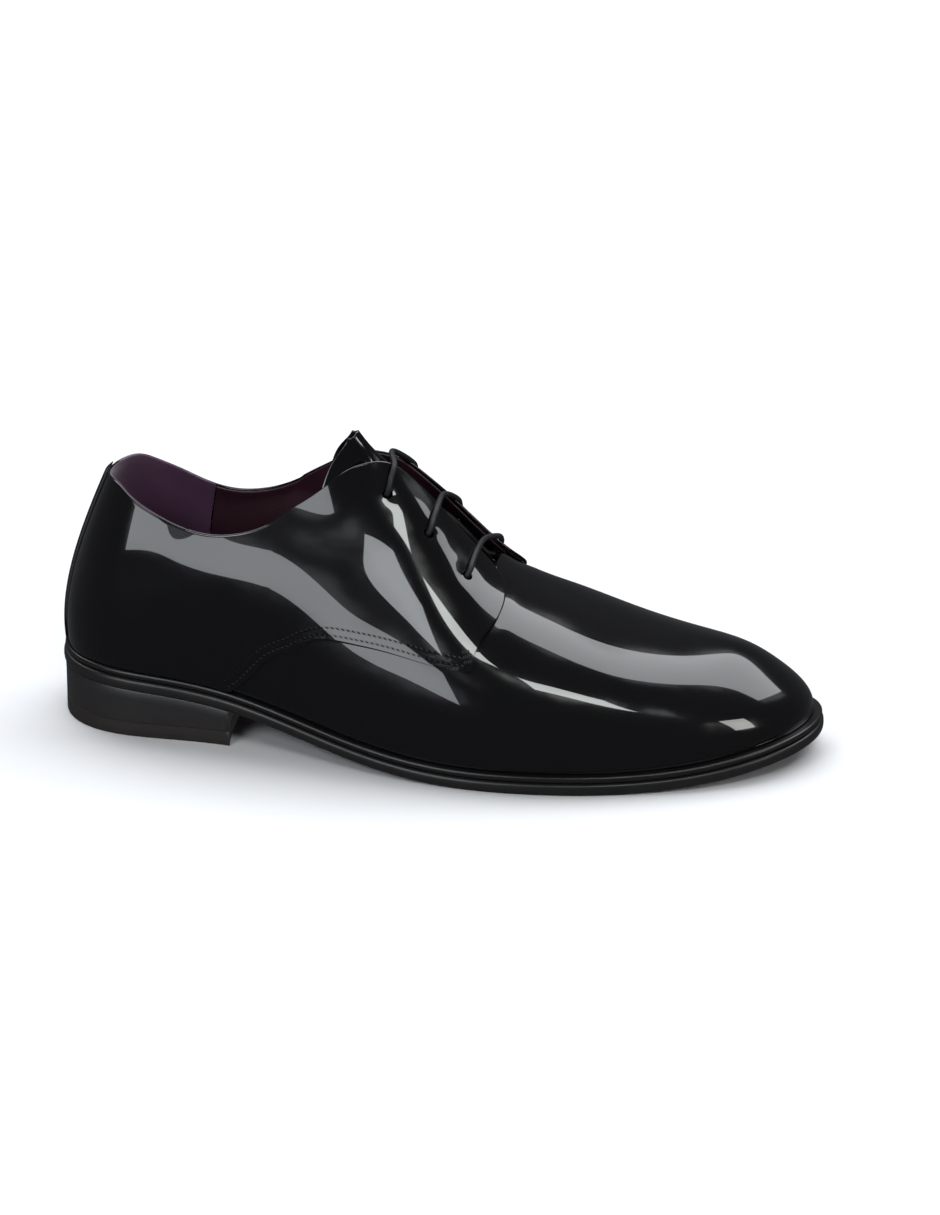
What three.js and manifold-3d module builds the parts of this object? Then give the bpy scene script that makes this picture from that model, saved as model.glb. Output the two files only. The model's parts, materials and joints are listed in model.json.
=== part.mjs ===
// Open-laced (derby) dress shoe for the right foot, built up layer by layer over its last.
// Millimetres. +X points to the toe, +Y to the inner (medial) side of the foot, +Z up.
// The origin is on the ground, under the middle of the outsole's length and width.
import * as THREE from "three";
import Module from "manifold-3d";

// ---- Driving sizes -------------------------------------------------------------------------
const LENGTH = 300; // outsole, back of the heel to the toe
const BALL_WIDTH = 103; // outsole at the ball of the foot
const HEEL_HEIGHT = 21.5; // ground to the underside of the outsole at the back
const TOE_SPRING = 9; // the same at the toe
const INSTEP = 1; // height of the instep, as a factor on the last's ridge

const OUTSOLE = 4.6; // thicknesses of the bottom's layers
const WELT = 2.5;
const WELT_WIDTH = 9.5;
const INSOLE = 2.5;
const SOCK = 1.2;
const TOP_PIECE = 6;
const LIFT = 3;
const SHANK = 1.6;
const SHANK_WIDTH = 14;

const COUNTER = 2;
const SKIVE = 0.5; // how much the vamp's hidden back edge is pared down
const VAMP = 1.2; // thicknesses of the upper's layers
const QUARTER = 1.2;
const BACKSTAY = 1;
const PUFF = 0.8;
const LINING = 0.8;
const TONGUE = 1.1;
const TONGUE_LINING = 0.8;

const CLEAR = 0.3; // between two faces that touch on the real shoe
const CURVED = 0.5; // the same between layers that wrap a tight curve
const LACE = 2.2; // diameter of the waxed round lace
const EYELET_HOLE = 5;
const EYELET_FLANGE = 7.4;
const EYELET_METAL = 0.4;
const EYELET_SEAT = 0.9; // leather bows this much more than the flat flange
const NAIL = 2;
const NAIL_HEAD = 4;
const NAIL_LENGTH = 16;
const BREAST = -76; // where the heel's front face stands
const GRIP_END = -98; // where the suede heel grip meets the leather quarter lining

// Heights above the last's surface at which each layer's outer face lies.
const QUARTER_TOP = CURVED + QUARTER;
const BACKSTAY_TOP = QUARTER_TOP + CLEAR + BACKSTAY;
const PUFF_TOP = -VAMP - CURVED;
const LOW_LINING_TOP = PUFF_TOP - PUFF - CURVED;
const FACING_LINING_TOP = CLEAR - CURVED;
const EYELET_TOP = FACING_LINING_TOP - LINING - EYELET_SEAT;
const LACE_RUN = EYELET_TOP - EYELET_METAL - CLEAR - LACE / 2;
const TONGUE_TOP = LACE_RUN - LACE / 2 - CLEAR;
const LACE_BAR = QUARTER_TOP + LACE / 2 + CLEAR;

// ---- Curves --------------------------------------------------------------------------------
// Natural cubic spline through [x, value] points.
function batten(points) {
  const last = points.length - 1;
  const x = points.map((p) => p[0]);
  const y = points.map((p) => p[1]);
  const bend = new Array(last + 1).fill(0);
  const carry = new Array(last + 1).fill(0);
  for (let i = 1; i < last; i++) {
    const left = x[i] - x[i - 1];
    const right = x[i + 1] - x[i];
    const pivot = 2 * (left + right) - left * carry[i - 1];
    const pull = 6 * ((y[i + 1] - y[i]) / right - (y[i] - y[i - 1]) / left);
    carry[i] = right / pivot;
    bend[i] = (pull - left * bend[i - 1]) / pivot;
  }
  for (let i = last - 1; i > 0; i--) bend[i] -= carry[i] * bend[i + 1];
  return (t) => {
    let i = 0;
    while (i < last - 1 && t > x[i + 1]) i++;
    const h = x[i + 1] - x[i];
    const a = (x[i + 1] - t) / h;
    const b = 1 - a;
    const sag = ((a ** 3 - a) * bend[i] + (b ** 3 - b) * bend[i + 1]) * h * h / 6;
    return a * y[i] + b * y[i + 1] + sag;
  };
}

// Smooth path through [station, height] points, run from 0 to 1. Stations weigh 1/100 of heights.
function patternCurve(points) {
  const run = [0];
  for (let i = 1; i < points.length; i++) {
    const step = Math.hypot((points[i][0] - points[i - 1][0]) / 100, points[i][1] - points[i - 1][1]);
    run.push(run[i - 1] + step);
  }
  const whole = run[run.length - 1];
  const along = batten(points.map((p, i) => [run[i] / whole, p[0]]));
  const up = batten(points.map((p, i) => [run[i] / whole, p[1]]));
  return (t) => [along(t), up(t)];
}

const mix = (a, b, t) => a + (b - a) * t;
const clamp01 = (t) => Math.min(1, Math.max(0, t));
const smooth = (t) => clamp01(t) ** 2 * (3 - 2 * clamp01(t));
const softMin = (a, b, soft) => -soft * Math.log(Math.exp(-a / soft) + Math.exp(-b / soft));

// ---- The last ------------------------------------------------------------------------------
// Its tables are drawn for a last of 300 mm with a 103 mm ball, and stretch with the real sizes.
const HALF = LENGTH / 2;
const STRETCH = LENGTH / 300;
const SPREAD = BALL_WIDTH / 103;
const CENTRE_Y = 5.8 * SPREAD; // brings the outsole's box to the middle of the frame
const HEEL_ROUND = 48;
const TOE_ROUND = 62;
const HEEL_POLE = -80;
const TOE_POLE = 112;
const POLE_BLEND = 12;

const outerWidth = batten([
  [-150, 33], [-110, 34], [-80, 35], [-40, 44], [0, 54.5],
  [35, 57.5], [70, 54], [100, 46.5], [125, 40], [150, 36],
]);
const innerWidth = batten([
  [-150, 33], [-110, 34], [-80, 32], [-45, 28.5], [-10, 30],
  [30, 40], [60, 45.5], [90, 44.5], [120, 38.5], [150, 34],
]);
const midLine = batten([[-150, 0], [-60, 0], [0, -0.5], [60, 0], [100, 1.5], [150, 5]]);
const heelRise = batten([[-150, 1], [-80, 0.7], [-25, 0.185], [20, 0], [45, 0], [150, 0]]);
const toeRise = batten([[-150, 0], [45, 0], [75, 0], [110, 0.245], [150, 1]]);
const weltMargin = batten([[-150, 3.6], [-80, 2.7], [-30, 2.8], [20, 2.8], [80, 3.2], [150, 4.2]]);
const ridgeHeight = batten([
  [-90, 152], [-55, 174.5], [-25, 126], [0, 96.5], [25, 70.5],
  [50, 58], [75, 49], [100, 42.8], [125, 36], [150, 18],
]);
const ridgeLine = batten([[-150, 0], [-80, 0], [-30, 3], [20, 5], [70, 5], [110, 5], [150, 5]]);
const fullness = batten([
  [-150, -0.06], [-110, -0.185], [-70, -0.285], [-30, -0.15],
  [20, 0.05], [70, 0.09], [110, 0.03], [150, -0.08],
]);
const outerBulge = batten([[-150, 2], [-90, 1.5], [-30, 1], [30, 1], [90, 1.2], [150, 1]]);
const innerBulge = batten([[-150, 2], [-90, 3], [-30, 5], [20, 3], [90, 1.5], [150, 1]]);

const OUTER = -1; // the two sides of the foot
const INNER = 1;
const stationOf = (u) => -HALF * Math.cos(Math.PI * u);
const runOf = (x) => Math.acos(Math.min(1, Math.max(-1, -x / HALF))) / Math.PI;
const bottomCurve = (x) => HEEL_HEIGHT * heelRise(x / STRETCH) + TOE_SPRING * toeRise(x / STRETCH);
const bottom = (x) => Math.max(0, bottomCurve(x));
const ridge = (x) => INSTEP * ridgeHeight(x / STRETCH) + bottomCurve(x);

// Past the ends of the heel, the toe or the ridge, a point belongs to the other side.
function fold(side, u, s) {
  if (s > 1) [side, s] = [-side, 2 - s];
  if (u < 0) [side, u] = [-side, -u];
  if (u > 1) [side, u] = [-side, 2 - u];
  return [side, u, s];
}

// Edge of the sole in plan, at run u from the back (0) to the toe (1).
function soleEdge(side, u) {
  [side, u] = fold(side, u, 0);
  const x = stationOf(u);
  const heel = 1 - clamp01((x + HALF) / (HEEL_ROUND * STRETCH));
  const toe = 1 - clamp01((HALF - x) / (TOE_ROUND * STRETCH));
  const cap = Math.sqrt(1 - heel ** 3) * Math.sqrt(1 - toe ** 3);
  const width = side === OUTER ? outerWidth(x / STRETCH) : innerWidth(x / STRETCH);
  return [x, CENTRE_Y + SPREAD * (midLine(x / STRETCH) + side * width * cap)];
}

// The same edge moved inwards, square to itself.
function insetEdge(side, u, inset) {
  const step = 2e-3;
  const back = soleEdge(side, u - step);
  const front = soleEdge(side, u + step);
  const dx = front[0] - back[0];
  const dy = front[1] - back[1];
  const length = Math.hypot(dx, dy);
  const [x, y] = soleEdge(side, u);
  return [x + side * (dy / length) * inset, y - side * (dx / length) * inset];
}

// Where the upper meets the welt.
function featherEdge(side, u) {
  const [x, y] = insetEdge(side, u, weltMargin(stationOf(u) / STRETCH));
  return [x, y, bottom(x) + OUTSOLE + CLEAR + WELT + CLEAR];
}

// A point of the last: u runs from the heel's back to the toe, s from the feather edge to the ridge.
// Each rib is a quarter of a fullness-swollen ellipse that leaves the ridge along its slope.
function lastPoint(side, u, s) {
  [side, u, s] = fold(side, u, s);
  const x = stationOf(u) / STRETCH;
  const [fx, fy, fz] = featherEdge(side, u);
  const soft = POLE_BLEND;
  const rx = -softMin(-softMin(x, TOE_POLE, soft), -HEEL_POLE, soft) * STRETCH;
  const ry = CENTRE_Y + SPREAD * ridgeLine(rx / STRETCH);
  const rz = ridge(rx);
  const slope = ridge(rx + 0.5) - ridge(rx - 0.5);
  const angle = (s * Math.PI) / 2;
  const swell = 1 + fullness(x) * Math.sin(2 * angle) ** 2;
  const out = swell * Math.cos(angle);
  const up = swell * Math.sin(angle);
  const bulge = side === OUTER ? outerBulge(x) : innerBulge(x);
  const belly = (bulge * Math.sin(angle) * Math.abs(Math.cos(angle)) ** 7) / 0.2212;
  const reach = Math.hypot(fx - rx, fy - ry);
  const px = rx + (fx - rx) * (out + belly / reach);
  const py = ry + (fy - ry) * (out + belly / reach);
  const drop = rz + slope * (fx - rx) - fz;
  return new THREE.Vector3(px, py, rz + slope * (px - rx) - drop * (1 - up));
}

// A point at a height above the last's surface, square to it. Stations are in millimetres.
function overLast(side, x, s, height) {
  const u = runOf(x * STRETCH);
  const step = 2e-3;
  const un = s > 0.98 ? Math.min(u, 0.995) : u;
  const along = lastPoint(side, un + step, s).sub(lastPoint(side, un - step, s));
  const upward = lastPoint(side, un, s + step).sub(lastPoint(side, un, s - step));
  const normal = along.cross(upward).multiplyScalar(-side).normalize();
  return lastPoint(side, u, s).addScaledVector(normal, height);
}

// ---- Pattern lines on the last, as [station, height fraction] --------------------------------
const topLine = batten([
  [-150, 0.446], [-141, 0.436], [-132, 0.408], [-116, 0.36], [-100, 0.32], [-88, 0.305],
  [-76, 0.312], [-64, 0.35], [-56, 0.403], [-48, 0.478], [-40, 0.563],
]);
const seamLine = batten([
  [-76, 0], [-71, 0.019], [-60, 0.074], [-50, 0.112], [-43, 0.147],
  [-31.5, 0.196], [-13, 0.258], [6, 0.304], [21.5, 0.36],
]);
const facingOutline = [
  [-60, 0.374], [-48, 0.478], [-40, 0.563], [-33, 0.65], [-26, 0.735], [-20.5, 0.8], [-15, 0.846],
  [-8, 0.866], [2, 0.87], [12, 0.87], [19.5, 0.868], [25.5, 0.838], [29, 0.76], [29.6, 0.68],
  [28.6, 0.61], [25, 0.51], [22.3, 0.42], [21.5, 0.36],
];
const vampBack = batten([
  [0, -88], [0.1, -68], [0.19, -50], [0.26, -32], [0.33, -12], [0.4, 7],
  [0.5, 17.5], [0.6, 24], [0.7, 25.5], [0.85, 26], [1, 26],
]);
const liningFoot = batten([[-98, 0], [-78, 0.1], [-60, 0.19], [-42, 0.26], [-24, 0.32], [-8, 0.36]]);
const vampLiningBack = batten([[0.34, -14], [0.4, 4], [0.5, 14], [0.6, 21.5], [0.7, 23.5], [0.85, 24], [1, 24]]);
const facingLiningOutline = [
  ...facingOutline.slice(0, 10), [19.5, 0.862], [22.6, 0.83], [23, 0.76], [23, 0.68],
  [21.6, 0.6], [15.6, 0.5], [5.5, 0.405], [-6, 0.375],
];
const tongueTop = batten([[0.45, -47], [0.6, -42], [0.7, -36.3], [0.8, -31.8], [0.9, -30], [1, -29.5]]);
const TONGUE_FOOT = 34; // how far forward the tongue reaches under the vamp
const INNER_NARROW = 0.09; // the inner facing stops this fraction lower than the outer one
const EYELETS = [[-17, 0.72], [-0.5, 0.712], [15, 0.69]];
const INNER_FORWARD = 4; // the inner eyelets sit this much nearer the toe

// The lace crosses the ridge this much nearer to it than it lies on the facings.
const ridgeDrop = batten([[-50, 9], [-28, 9], [-16, 7], [0, 2.5], [15, 1.5], [30, 0]]);
const CROWN = 0.72; // height fraction above which the tongue's top rolls over in one round arc
const CROWN_FULLNESS = 1.5; // 2 is a half circle between two upright walls

// Heights on the inner side drop a little towards the facing edge.
const onSide = (side, s) => (side === OUTER ? s : s * (1 - INNER_NARROW * smooth((s - 0.45) / 0.4)));

// ---- Solids --------------------------------------------------------------------------------
const wasm = await Module();
wasm.setup();

// Closed solid between an outer and an inner grid of points. Vertices that fall together are
// joined, and the ends named in openEnds get no wall because the grid closes on itself there.
function slab(rows, cols, outer, inner, openEnds = []) {
  const found = new Map();
  const flat = [];
  const join = (p) => {
    const key = [p.x, p.y, p.z].map((v) => Math.round(v * 2000)).join(" ");
    if (!found.has(key)) {
      found.set(key, flat.length / 3);
      flat.push(p.x, p.y, p.z);
    }
    return found.get(key);
  };
  const grid = (place) => {
    const table = [];
    for (let i = 0; i <= rows; i++) {
      table.push([]);
      for (let j = 0; j <= cols; j++) table[i].push(join(place(i / rows, j / cols)));
    }
    return table;
  };
  const top = grid(outer);
  const under = grid(inner);
  const faces = [];
  const quad = (a, b, c, d) => {
    for (const face of [[a, b, c], [a, c, d]]) if (new Set(face).size === 3) faces.push(face);
  };
  for (let i = 0; i < rows; i++) {
    for (let j = 0; j < cols; j++) {
      quad(top[i][j], top[i + 1][j], top[i + 1][j + 1], top[i][j + 1]);
      quad(under[i][j], under[i][j + 1], under[i + 1][j + 1], under[i + 1][j]);
    }
  }
  for (let i = 0; i < rows; i++) {
    if (!openEnds.includes("left")) quad(top[i][0], under[i][0], under[i + 1][0], top[i + 1][0]);
    if (!openEnds.includes("right")) quad(top[i][cols], top[i + 1][cols], under[i + 1][cols], under[i][cols]);
  }
  for (let j = 0; j < cols; j++) {
    if (!openEnds.includes("start")) quad(top[0][j], top[0][j + 1], under[0][j + 1], under[0][j]);
    if (!openEnds.includes("end")) quad(top[rows][j], under[rows][j], under[rows][j + 1], top[rows][j + 1]);
  }
  return outwards(flat, faces);
}

// A BufferGeometry whose faces point outwards.
function outwards(flat, faces) {
  const at = (i) => new THREE.Vector3(flat[3 * i], flat[3 * i + 1], flat[3 * i + 2]);
  let volume = 0;
  for (const [a, b, c] of faces) volume += at(a).dot(at(b).cross(at(c)));
  const geometry = new THREE.BufferGeometry();
  geometry.setAttribute("position", new THREE.Float32BufferAttribute(flat, 3));
  geometry.setIndex(faces.flatMap(([a, b, c]) => (volume < 0 ? [a, c, b] : [a, b, c])));
  return geometry;
}

function toSolid(geometry) {
  const flat = geometry.attributes.position.array;
  const joined = new Map();
  const target = [];
  const vertices = [];
  for (let i = 0; i < flat.length; i += 3) {
    const key = [0, 1, 2].map((k) => Math.round(flat[i + k] * 2000)).join(" ");
    if (!joined.has(key)) {
      joined.set(key, vertices.length / 3);
      vertices.push(flat[i], flat[i + 1], flat[i + 2]);
    }
    target.push(joined.get(key));
  }
  const order = geometry.index ? [...geometry.index.array] : target.map((_, i) => i);
  const faces = [];
  for (let i = 0; i < order.length; i += 3) {
    const face = [target[order[i]], target[order[i + 1]], target[order[i + 2]]];
    if (new Set(face).size === 3) faces.push(...face);
  }
  const mesh = new wasm.Mesh({
    numProp: 3,
    vertProperties: new Float32Array(vertices),
    triVerts: new Uint32Array(faces),
  });
  return new wasm.Manifold(mesh);
}

function cut(geometry, cutters) {
  let solid = toSolid(geometry);
  for (const cutter of cutters) solid = solid.subtract(toSolid(cutter));
  const mesh = solid.getMesh();
  const result = new THREE.BufferGeometry();
  result.setAttribute("position", new THREE.Float32BufferAttribute(mesh.vertProperties, 3));
  result.setIndex([...mesh.triVerts]);
  return result;
}

// A round bar or a turned piece about an axis that starts at a point.
function turned(profile, sides, origin, axis) {
  const points = profile.map(([r, z]) => new THREE.Vector2(r, z));
  const geometry = new THREE.LatheGeometry(points, sides);
  geometry.deleteAttribute("normal");
  geometry.deleteAttribute("uv");
  const turn = new THREE.Quaternion().setFromUnitVectors(new THREE.Vector3(0, 1, 0), axis);
  geometry.applyQuaternion(turn);
  geometry.translate(origin.x, origin.y, origin.z);
  return geometry;
}

const UP = new THREE.Vector3(0, 0, 1);
const peg = (r, from, to) => [[0, from], [r, from], [r, to], [0, to]];

// ---- Bottom --------------------------------------------------------------------------------
const SOLE_ROWS = 32;

// A layer that fills an inset of the sole's outline between two heights over the sole's underside.
function layer(inset, low, high, from = 0, to = 1, rows = SOLE_ROWS) {
  const place = (height) => (i, j) => {
    const u = mix(from, to, i);
    const [x0, y0] = insetEdge(OUTER, u, inset);
    const [x1, y1] = insetEdge(INNER, u, inset);
    const x = mix(x0, x1, j);
    return new THREE.Vector3(x, mix(y0, y1, j), bottom(x) + height);
  };
  return slab(rows, 2, place(high), place(low));
}

function weltRing() {
  const low = OUTSOLE + CLEAR;
  const around = 2 * SOLE_ROWS;
  const place = (inset, height) => (i) => {
    const turn = 2 * i;
    const [x, y] = turn <= 1 ? insetEdge(OUTER, turn, inset) : insetEdge(INNER, 2 - turn, inset);
    return new THREE.Vector3(x, y, bottom(x) + height);
  };
  const edge = 0.4; // the welt's edge stands a little inside the outsole's
  const outerWall = [place(edge, low + WELT), place(edge, low)];
  const innerWall = [place(WELT_WIDTH, low + WELT), place(WELT_WIDTH, low)];
  const wall = (pair) => (i, j) => pair[j](i);
  return slab(around, 1, wall(outerWall), wall(innerWall), ["start", "end"]);
}

const nailSpots = [-136, -122, -122, -98, -98].map((x, i) => {
  const aside = [0, 17, -17, 19, -19][i];
  return [x * STRETCH, CENTRE_Y + aside * SPREAD];
});
const nailTop = (x) => bottom(x) + OUTSOLE + CLEAR + WELT + CLEAR + INSOLE - 0.2;

function nail([x, y]) {
  const profile = [[0, 0], [NAIL / 2, 1], [NAIL / 2, NAIL_LENGTH - 1], [NAIL_HEAD / 2, NAIL_LENGTH - 0.8],
    [NAIL_HEAD / 2, NAIL_LENGTH], [0, NAIL_LENGTH]];
  return turned(profile, 8, new THREE.Vector3(x, y, nailTop(x) - NAIL_LENGTH), UP);
}

function nailHole([x, y]) {
  const r = NAIL / 2 + CLEAR;
  const head = NAIL_HEAD / 2 + CLEAR;
  const shoulder = NAIL_LENGTH - 1 - CLEAR;
  const profile = [[0, -CLEAR], [r, -CLEAR], [r, shoulder], [head, shoulder], [head, NAIL_LENGTH + 3],
    [0, NAIL_LENGTH + 3]];
  return turned(profile, 8, new THREE.Vector3(x, y, nailTop(x) - NAIL_LENGTH), UP);
}

// The heel is the back of the sole's outline, with a breast that bows a little inwards.
function heelBlock(low, high) {
  const rows = 15;
  const end = runOf(BREAST * STRETCH);
  const place = (height) => (i, j) => {
    const [x0, y0] = insetEdge(OUTER, i * end, 0.5);
    const [, y1] = insetEdge(INNER, i * end, 0.5);
    const bow = 3 * smooth((i - 0.7) / 0.3) * (1 - (2 * j - 1) ** 2);
    return new THREE.Vector3(x0 - bow, mix(y0, y1, j), height(x0 - bow));
  };
  return slab(rows, 4, place(high), place(low));
}

function insoleLayer(low, thickness, shrink) {
  const edge = (side, u) => insetEdge(side, u, insoleInset(stationOf(u)) + shrink);
  const place = (height) => (i, j) => {
    const [x0, y0] = edge(OUTER, i);
    const [x1, y1] = edge(INNER, i);
    const x = mix(x0, x1, j);
    return new THREE.Vector3(x, mix(y0, y1, j), bottom(x) + height);
  };
  return slab(SOLE_ROWS, 2, place(low + thickness), place(low));
}

function shankBar() {
  const low = OUTSOLE + CLEAR + 0.4;
  const place = (height) => (i, j) => {
    const x = mix(-88, -14, i) * STRETCH;
    const round = Math.sqrt(Math.max(0.05, 1 - (2 * i - 1) ** 8));
    const y = CENTRE_Y + SPREAD * midLine(x / STRETCH) + SHANK_WIDTH * round * (j - 0.5) - 3 * i;
    return new THREE.Vector3(x, y, bottom(x) + height);
  };
  return slab(12, 2, place(low + SHANK), place(low));
}

// ---- Upper ---------------------------------------------------------------------------------
// A piece that crosses the ridge: j runs from the outer feather edge over to the inner one.
function acrossRidge(rows, cols, backAt, frontAt, outer, inner) {
  const place = (height) => (i, j) => {
    const across = 2 * j - 1;
    const side = across < 0 ? OUTER : INNER;
    const s = 1 - Math.abs(across);
    const u = mix(runOf(backAt(s) * STRETCH), runOf(frontAt(s) * STRETCH), i);
    const x = stationOf(u) / STRETCH;
    return overLast(side, x, s, height(x, s));
  };
  return slab(rows, cols, place(outer), place(inner), ["end"]);
}

// A piece that wraps the back of the heel: i runs from the outer side round to the inner one.
function roundHeel(rows, cols, reach, lowAt, highAt, outer, inner) {
  const place = (height) => (i, j) => {
    const w = (2 * i - 1) * runOf(reach * STRETCH);
    const side = w < 0 ? OUTER : INNER;
    const x = stationOf(Math.abs(w)) / STRETCH;
    const s = mix(lowAt(x), highAt(x), j);
    return overLast(side, x, s, height(x, s));
  };
  return slab(rows, cols, place(outer), place(inner));
}

// Bend line: where a plane through the bar tack and the top line, square to the leather, meets it.
const BEND_BACK = -60;
const BEND_FRONT = 21.5;
function bendPlane(side) {
  const front = overLast(side, BEND_FRONT, 0.36, QUARTER_TOP);
  const back = overLast(side, BEND_BACK, topLine(BEND_BACK), QUARTER_TOP);
  const middle = overLast(side, -18, 0.4, 0);
  const outside = overLast(side, -18, 0.4, 5);
  const axis = back.clone().sub(front).normalize();
  const facing = outside.sub(middle).normalize();
  const normal = axis.clone().cross(facing).multiplyScalar(-side).normalize();
  return { front, axis, facing, normal };
}

// Height fraction at which the bend plane, moved up by a gap, crosses the station.
function bendHeight(side, plane, x, gap, height) {
  let low = 0.2;
  let high = 0.62;
  for (let k = 0; k < 22; k++) {
    const middle = (low + high) / 2;
    const above = overLast(side, x, middle, height).sub(plane.front).dot(plane.normal) > gap;
    if (above) high = middle;
    else low = middle;
  }
  return (low + high) / 2;
}

const planes = { [OUTER]: bendPlane(OUTER), [INNER]: bendPlane(INNER) };

// How deep the lining lies: low where stiffener and vamp are between it and the outer leather,
// and close under that leather along the top line.
function liningTop(x, s) {
  const rim = topLine(Math.min(x, BEND_BACK));
  return LOW_LINING_TOP * (1 - smooth((s / rim - 0.62) / 0.34));
}

// A wall piece of one side, from station to station, between a lower line and the top or bend line.
function wallPiece(side, from, to, rows, cols, lowLine, outer, inner) {
  const ends = [from === null ? 0.0012 : runOf(from * STRETCH), runOf(to * STRETCH)];
  const tops = [];
  for (let i = 0; i <= rows; i++) {
    const x = stationOf(mix(...ends, i / rows)) / STRETCH;
    const middle = (outer(x, 0.38) + inner(x, 0.38)) / 2;
    const bend = x > BEND_BACK - 4 ? bendHeight(side, planes[side], x, -CLEAR / 2, middle) : 1;
    tops.push(Math.min(bend, x > -40 ? bend : topLine(x)));
  }
  const place = (height) => (i, j) => {
    const x = stationOf(mix(...ends, i)) / STRETCH;
    const s = mix(lowLine(x), tops[Math.round(i * rows)], j);
    return overLast(side, x, s, height(x, s));
  };
  return slab(rows, cols, place(outer), place(inner));
}

const quarterFoot = (x) => (x < -76 ? 0 : Math.max(0, seamLine(x)));

function quarter(side) {
  return wallPiece(side, null, 18.5, 28, 5, quarterFoot, () => QUARTER_TOP, () => CURVED);
}

function quarterLining(side) {
  const under = (x, s) => liningTop(x, s) - LINING;
  return wallPiece(side, GRIP_END + 0.4, -13, 16, 4, liningFoot, liningTop, under);
}

// The eyelet flap above the bend line, ruled from the bend line to its outline.
function flap(side, outline, lowFrom, lowTo, span, rows, cols, outer, inner) {
  const curve = patternCurve(outline);
  const middle = (outer + inner) / 2;
  const lows = [];
  for (let i = 0; i <= rows; i++) {
    const x = mix(lowFrom, lowTo, i / rows);
    lows.push([x, bendHeight(side, planes[side], x, CLEAR / 2, middle)]);
  }
  const place = (height) => (i, j) => {
    const low = lows[Math.round(i * rows)];
    const [hx, hs] = curve(mix(...span, i));
    return overLast(side, mix(low[0], hx, j), mix(low[1], onSide(side, hs), j), height);
  };
  return slab(rows, cols, place(outer), place(inner));
}

function eyeletPlace(side, [x, s]) {
  const shift = side === INNER ? INNER_FORWARD : 0;
  const station = x + shift;
  const height = onSide(side, s);
  const origin = overLast(side, station, height, 0);
  const axis = overLast(side, station, height, 1).sub(origin).normalize();
  return { station, height, origin, axis };
}

function eyeletHoles(side, radius) {
  return EYELETS.map((spot) => {
    const { origin, axis } = eyeletPlace(side, spot);
    return turned(peg(radius, -4, 4), 10, origin, axis);
  });
}

function facing(side) {
  const sheet = flap(side, facingOutline, -57, 20.5, [0.035, 0.985], 14, 8, QUARTER_TOP, CURVED);
  return cut(sheet, eyeletHoles(side, EYELET_HOLE / 2));
}

function facingLining(side) {
  const sheet = flap(side, facingLiningOutline, -56.5, -8, [0.04, 0.985], 14, 7, FACING_LINING_TOP, FACING_LINING_TOP - LINING);
  return cut(sheet, eyeletHoles(side, EYELET_HOLE / 2 + EYELET_METAL + CLEAR));
}

function eyelet(side, spot) {
  const { origin, axis } = eyeletPlace(side, spot);
  const bore = EYELET_HOLE / 2;
  const top = EYELET_TOP;
  const high = FACING_LINING_TOP - CLEAR;
  const profile = [[bore, high], [bore, top - EYELET_METAL], [EYELET_FLANGE / 2, top - EYELET_METAL],
    [EYELET_FLANGE / 2, top], [bore + EYELET_METAL, top], [bore + EYELET_METAL, high], [bore, high]];
  return cut(turned(profile, 10, origin, axis), []);
}

function vamp() {
  const pared = (x, s) => -SKIVE * smooth((vampBack(s) + 16 - x) / 6);
  return acrossRidge(20, 26, vampBack, () => 150, pared, () => -VAMP);
}

function vampLining() {
  const back = (s) => (s < 0.34 ? stationWhere(liningFoot, s, -98, -8) + 4 * CLEAR : vampLiningBack(s));
  return acrossRidge(12, 20, back, () => 150, () => LOW_LINING_TOP, () => LOW_LINING_TOP - LINING);
}

function toePuff() {
  return acrossRidge(7, 16, (s) => 98 + 14 * s, () => 150, () => PUFF_TOP, () => PUFF_TOP - PUFF);
}

// Station at which a rising line reaches a height.
function stationWhere(line, s, low, high) {
  for (let k = 0; k < 30; k++) {
    const middle = (low + high) / 2;
    if (line(middle) < s) low = middle;
    else high = middle;
  }
  return low;
}

function heelCounter() {
  const top = (x) => 0.6 * topLine(x) * (1 - 0.4 * smooth((x + 110) / 20));
  return roundHeel(18, 3, -93, () => 0, top, () => 0, () => -COUNTER);
}

function heelGrip() {
  return roundHeel(18, 5, GRIP_END - 0.4, () => 0, topLine, liningTop, (x, s) => liningTop(x, s) - LINING);
}

function backstay() {
  const reach = -149.1; // about 9 mm to each side of the back seam
  return roundHeel(6, 10, reach, () => 0.01, topLine, () => BACKSTAY_TOP, () => QUARTER_TOP + CLEAR);
}

// The tongue follows the last below the crown line and near the vamp. At its top it leaves the
// narrow ridge and rolls over from one side to the other.
function tonguePoint(side, x, s, height) {
  const onLast = overLast(side, x, s, height);
  const rolled = 1 - smooth((x + 16) / 18);
  if (s <= CROWN || rolled === 0) return onLast;
  const feet = [OUTER, INNER].map((wall) => overLast(wall, x, CROWN, height));
  const width = feet[0].distanceTo(feet[1]);
  const climbs = [OUTER, INNER].map((wall, k) => {
    const upward = feet[k].clone().sub(overLast(wall, x, CROWN - 0.04, height)).normalize();
    return upward.multiplyScalar(CROWN_FULLNESS * width);
  });
  const share = (s - CROWN) / (1 - CROWN) / 2;
  const t = side === OUTER ? share : 1 - share;
  const arc = feet[0].clone().multiplyScalar((1 + 2 * t) * (1 - t) ** 2);
  arc.addScaledVector(climbs[0], t * (1 - t) ** 2);
  arc.addScaledVector(feet[1], t * t * (3 - 2 * t));
  arc.addScaledVector(climbs[1], t * t * (1 - t));
  return onLast.lerp(arc, rolled);
}

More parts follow.
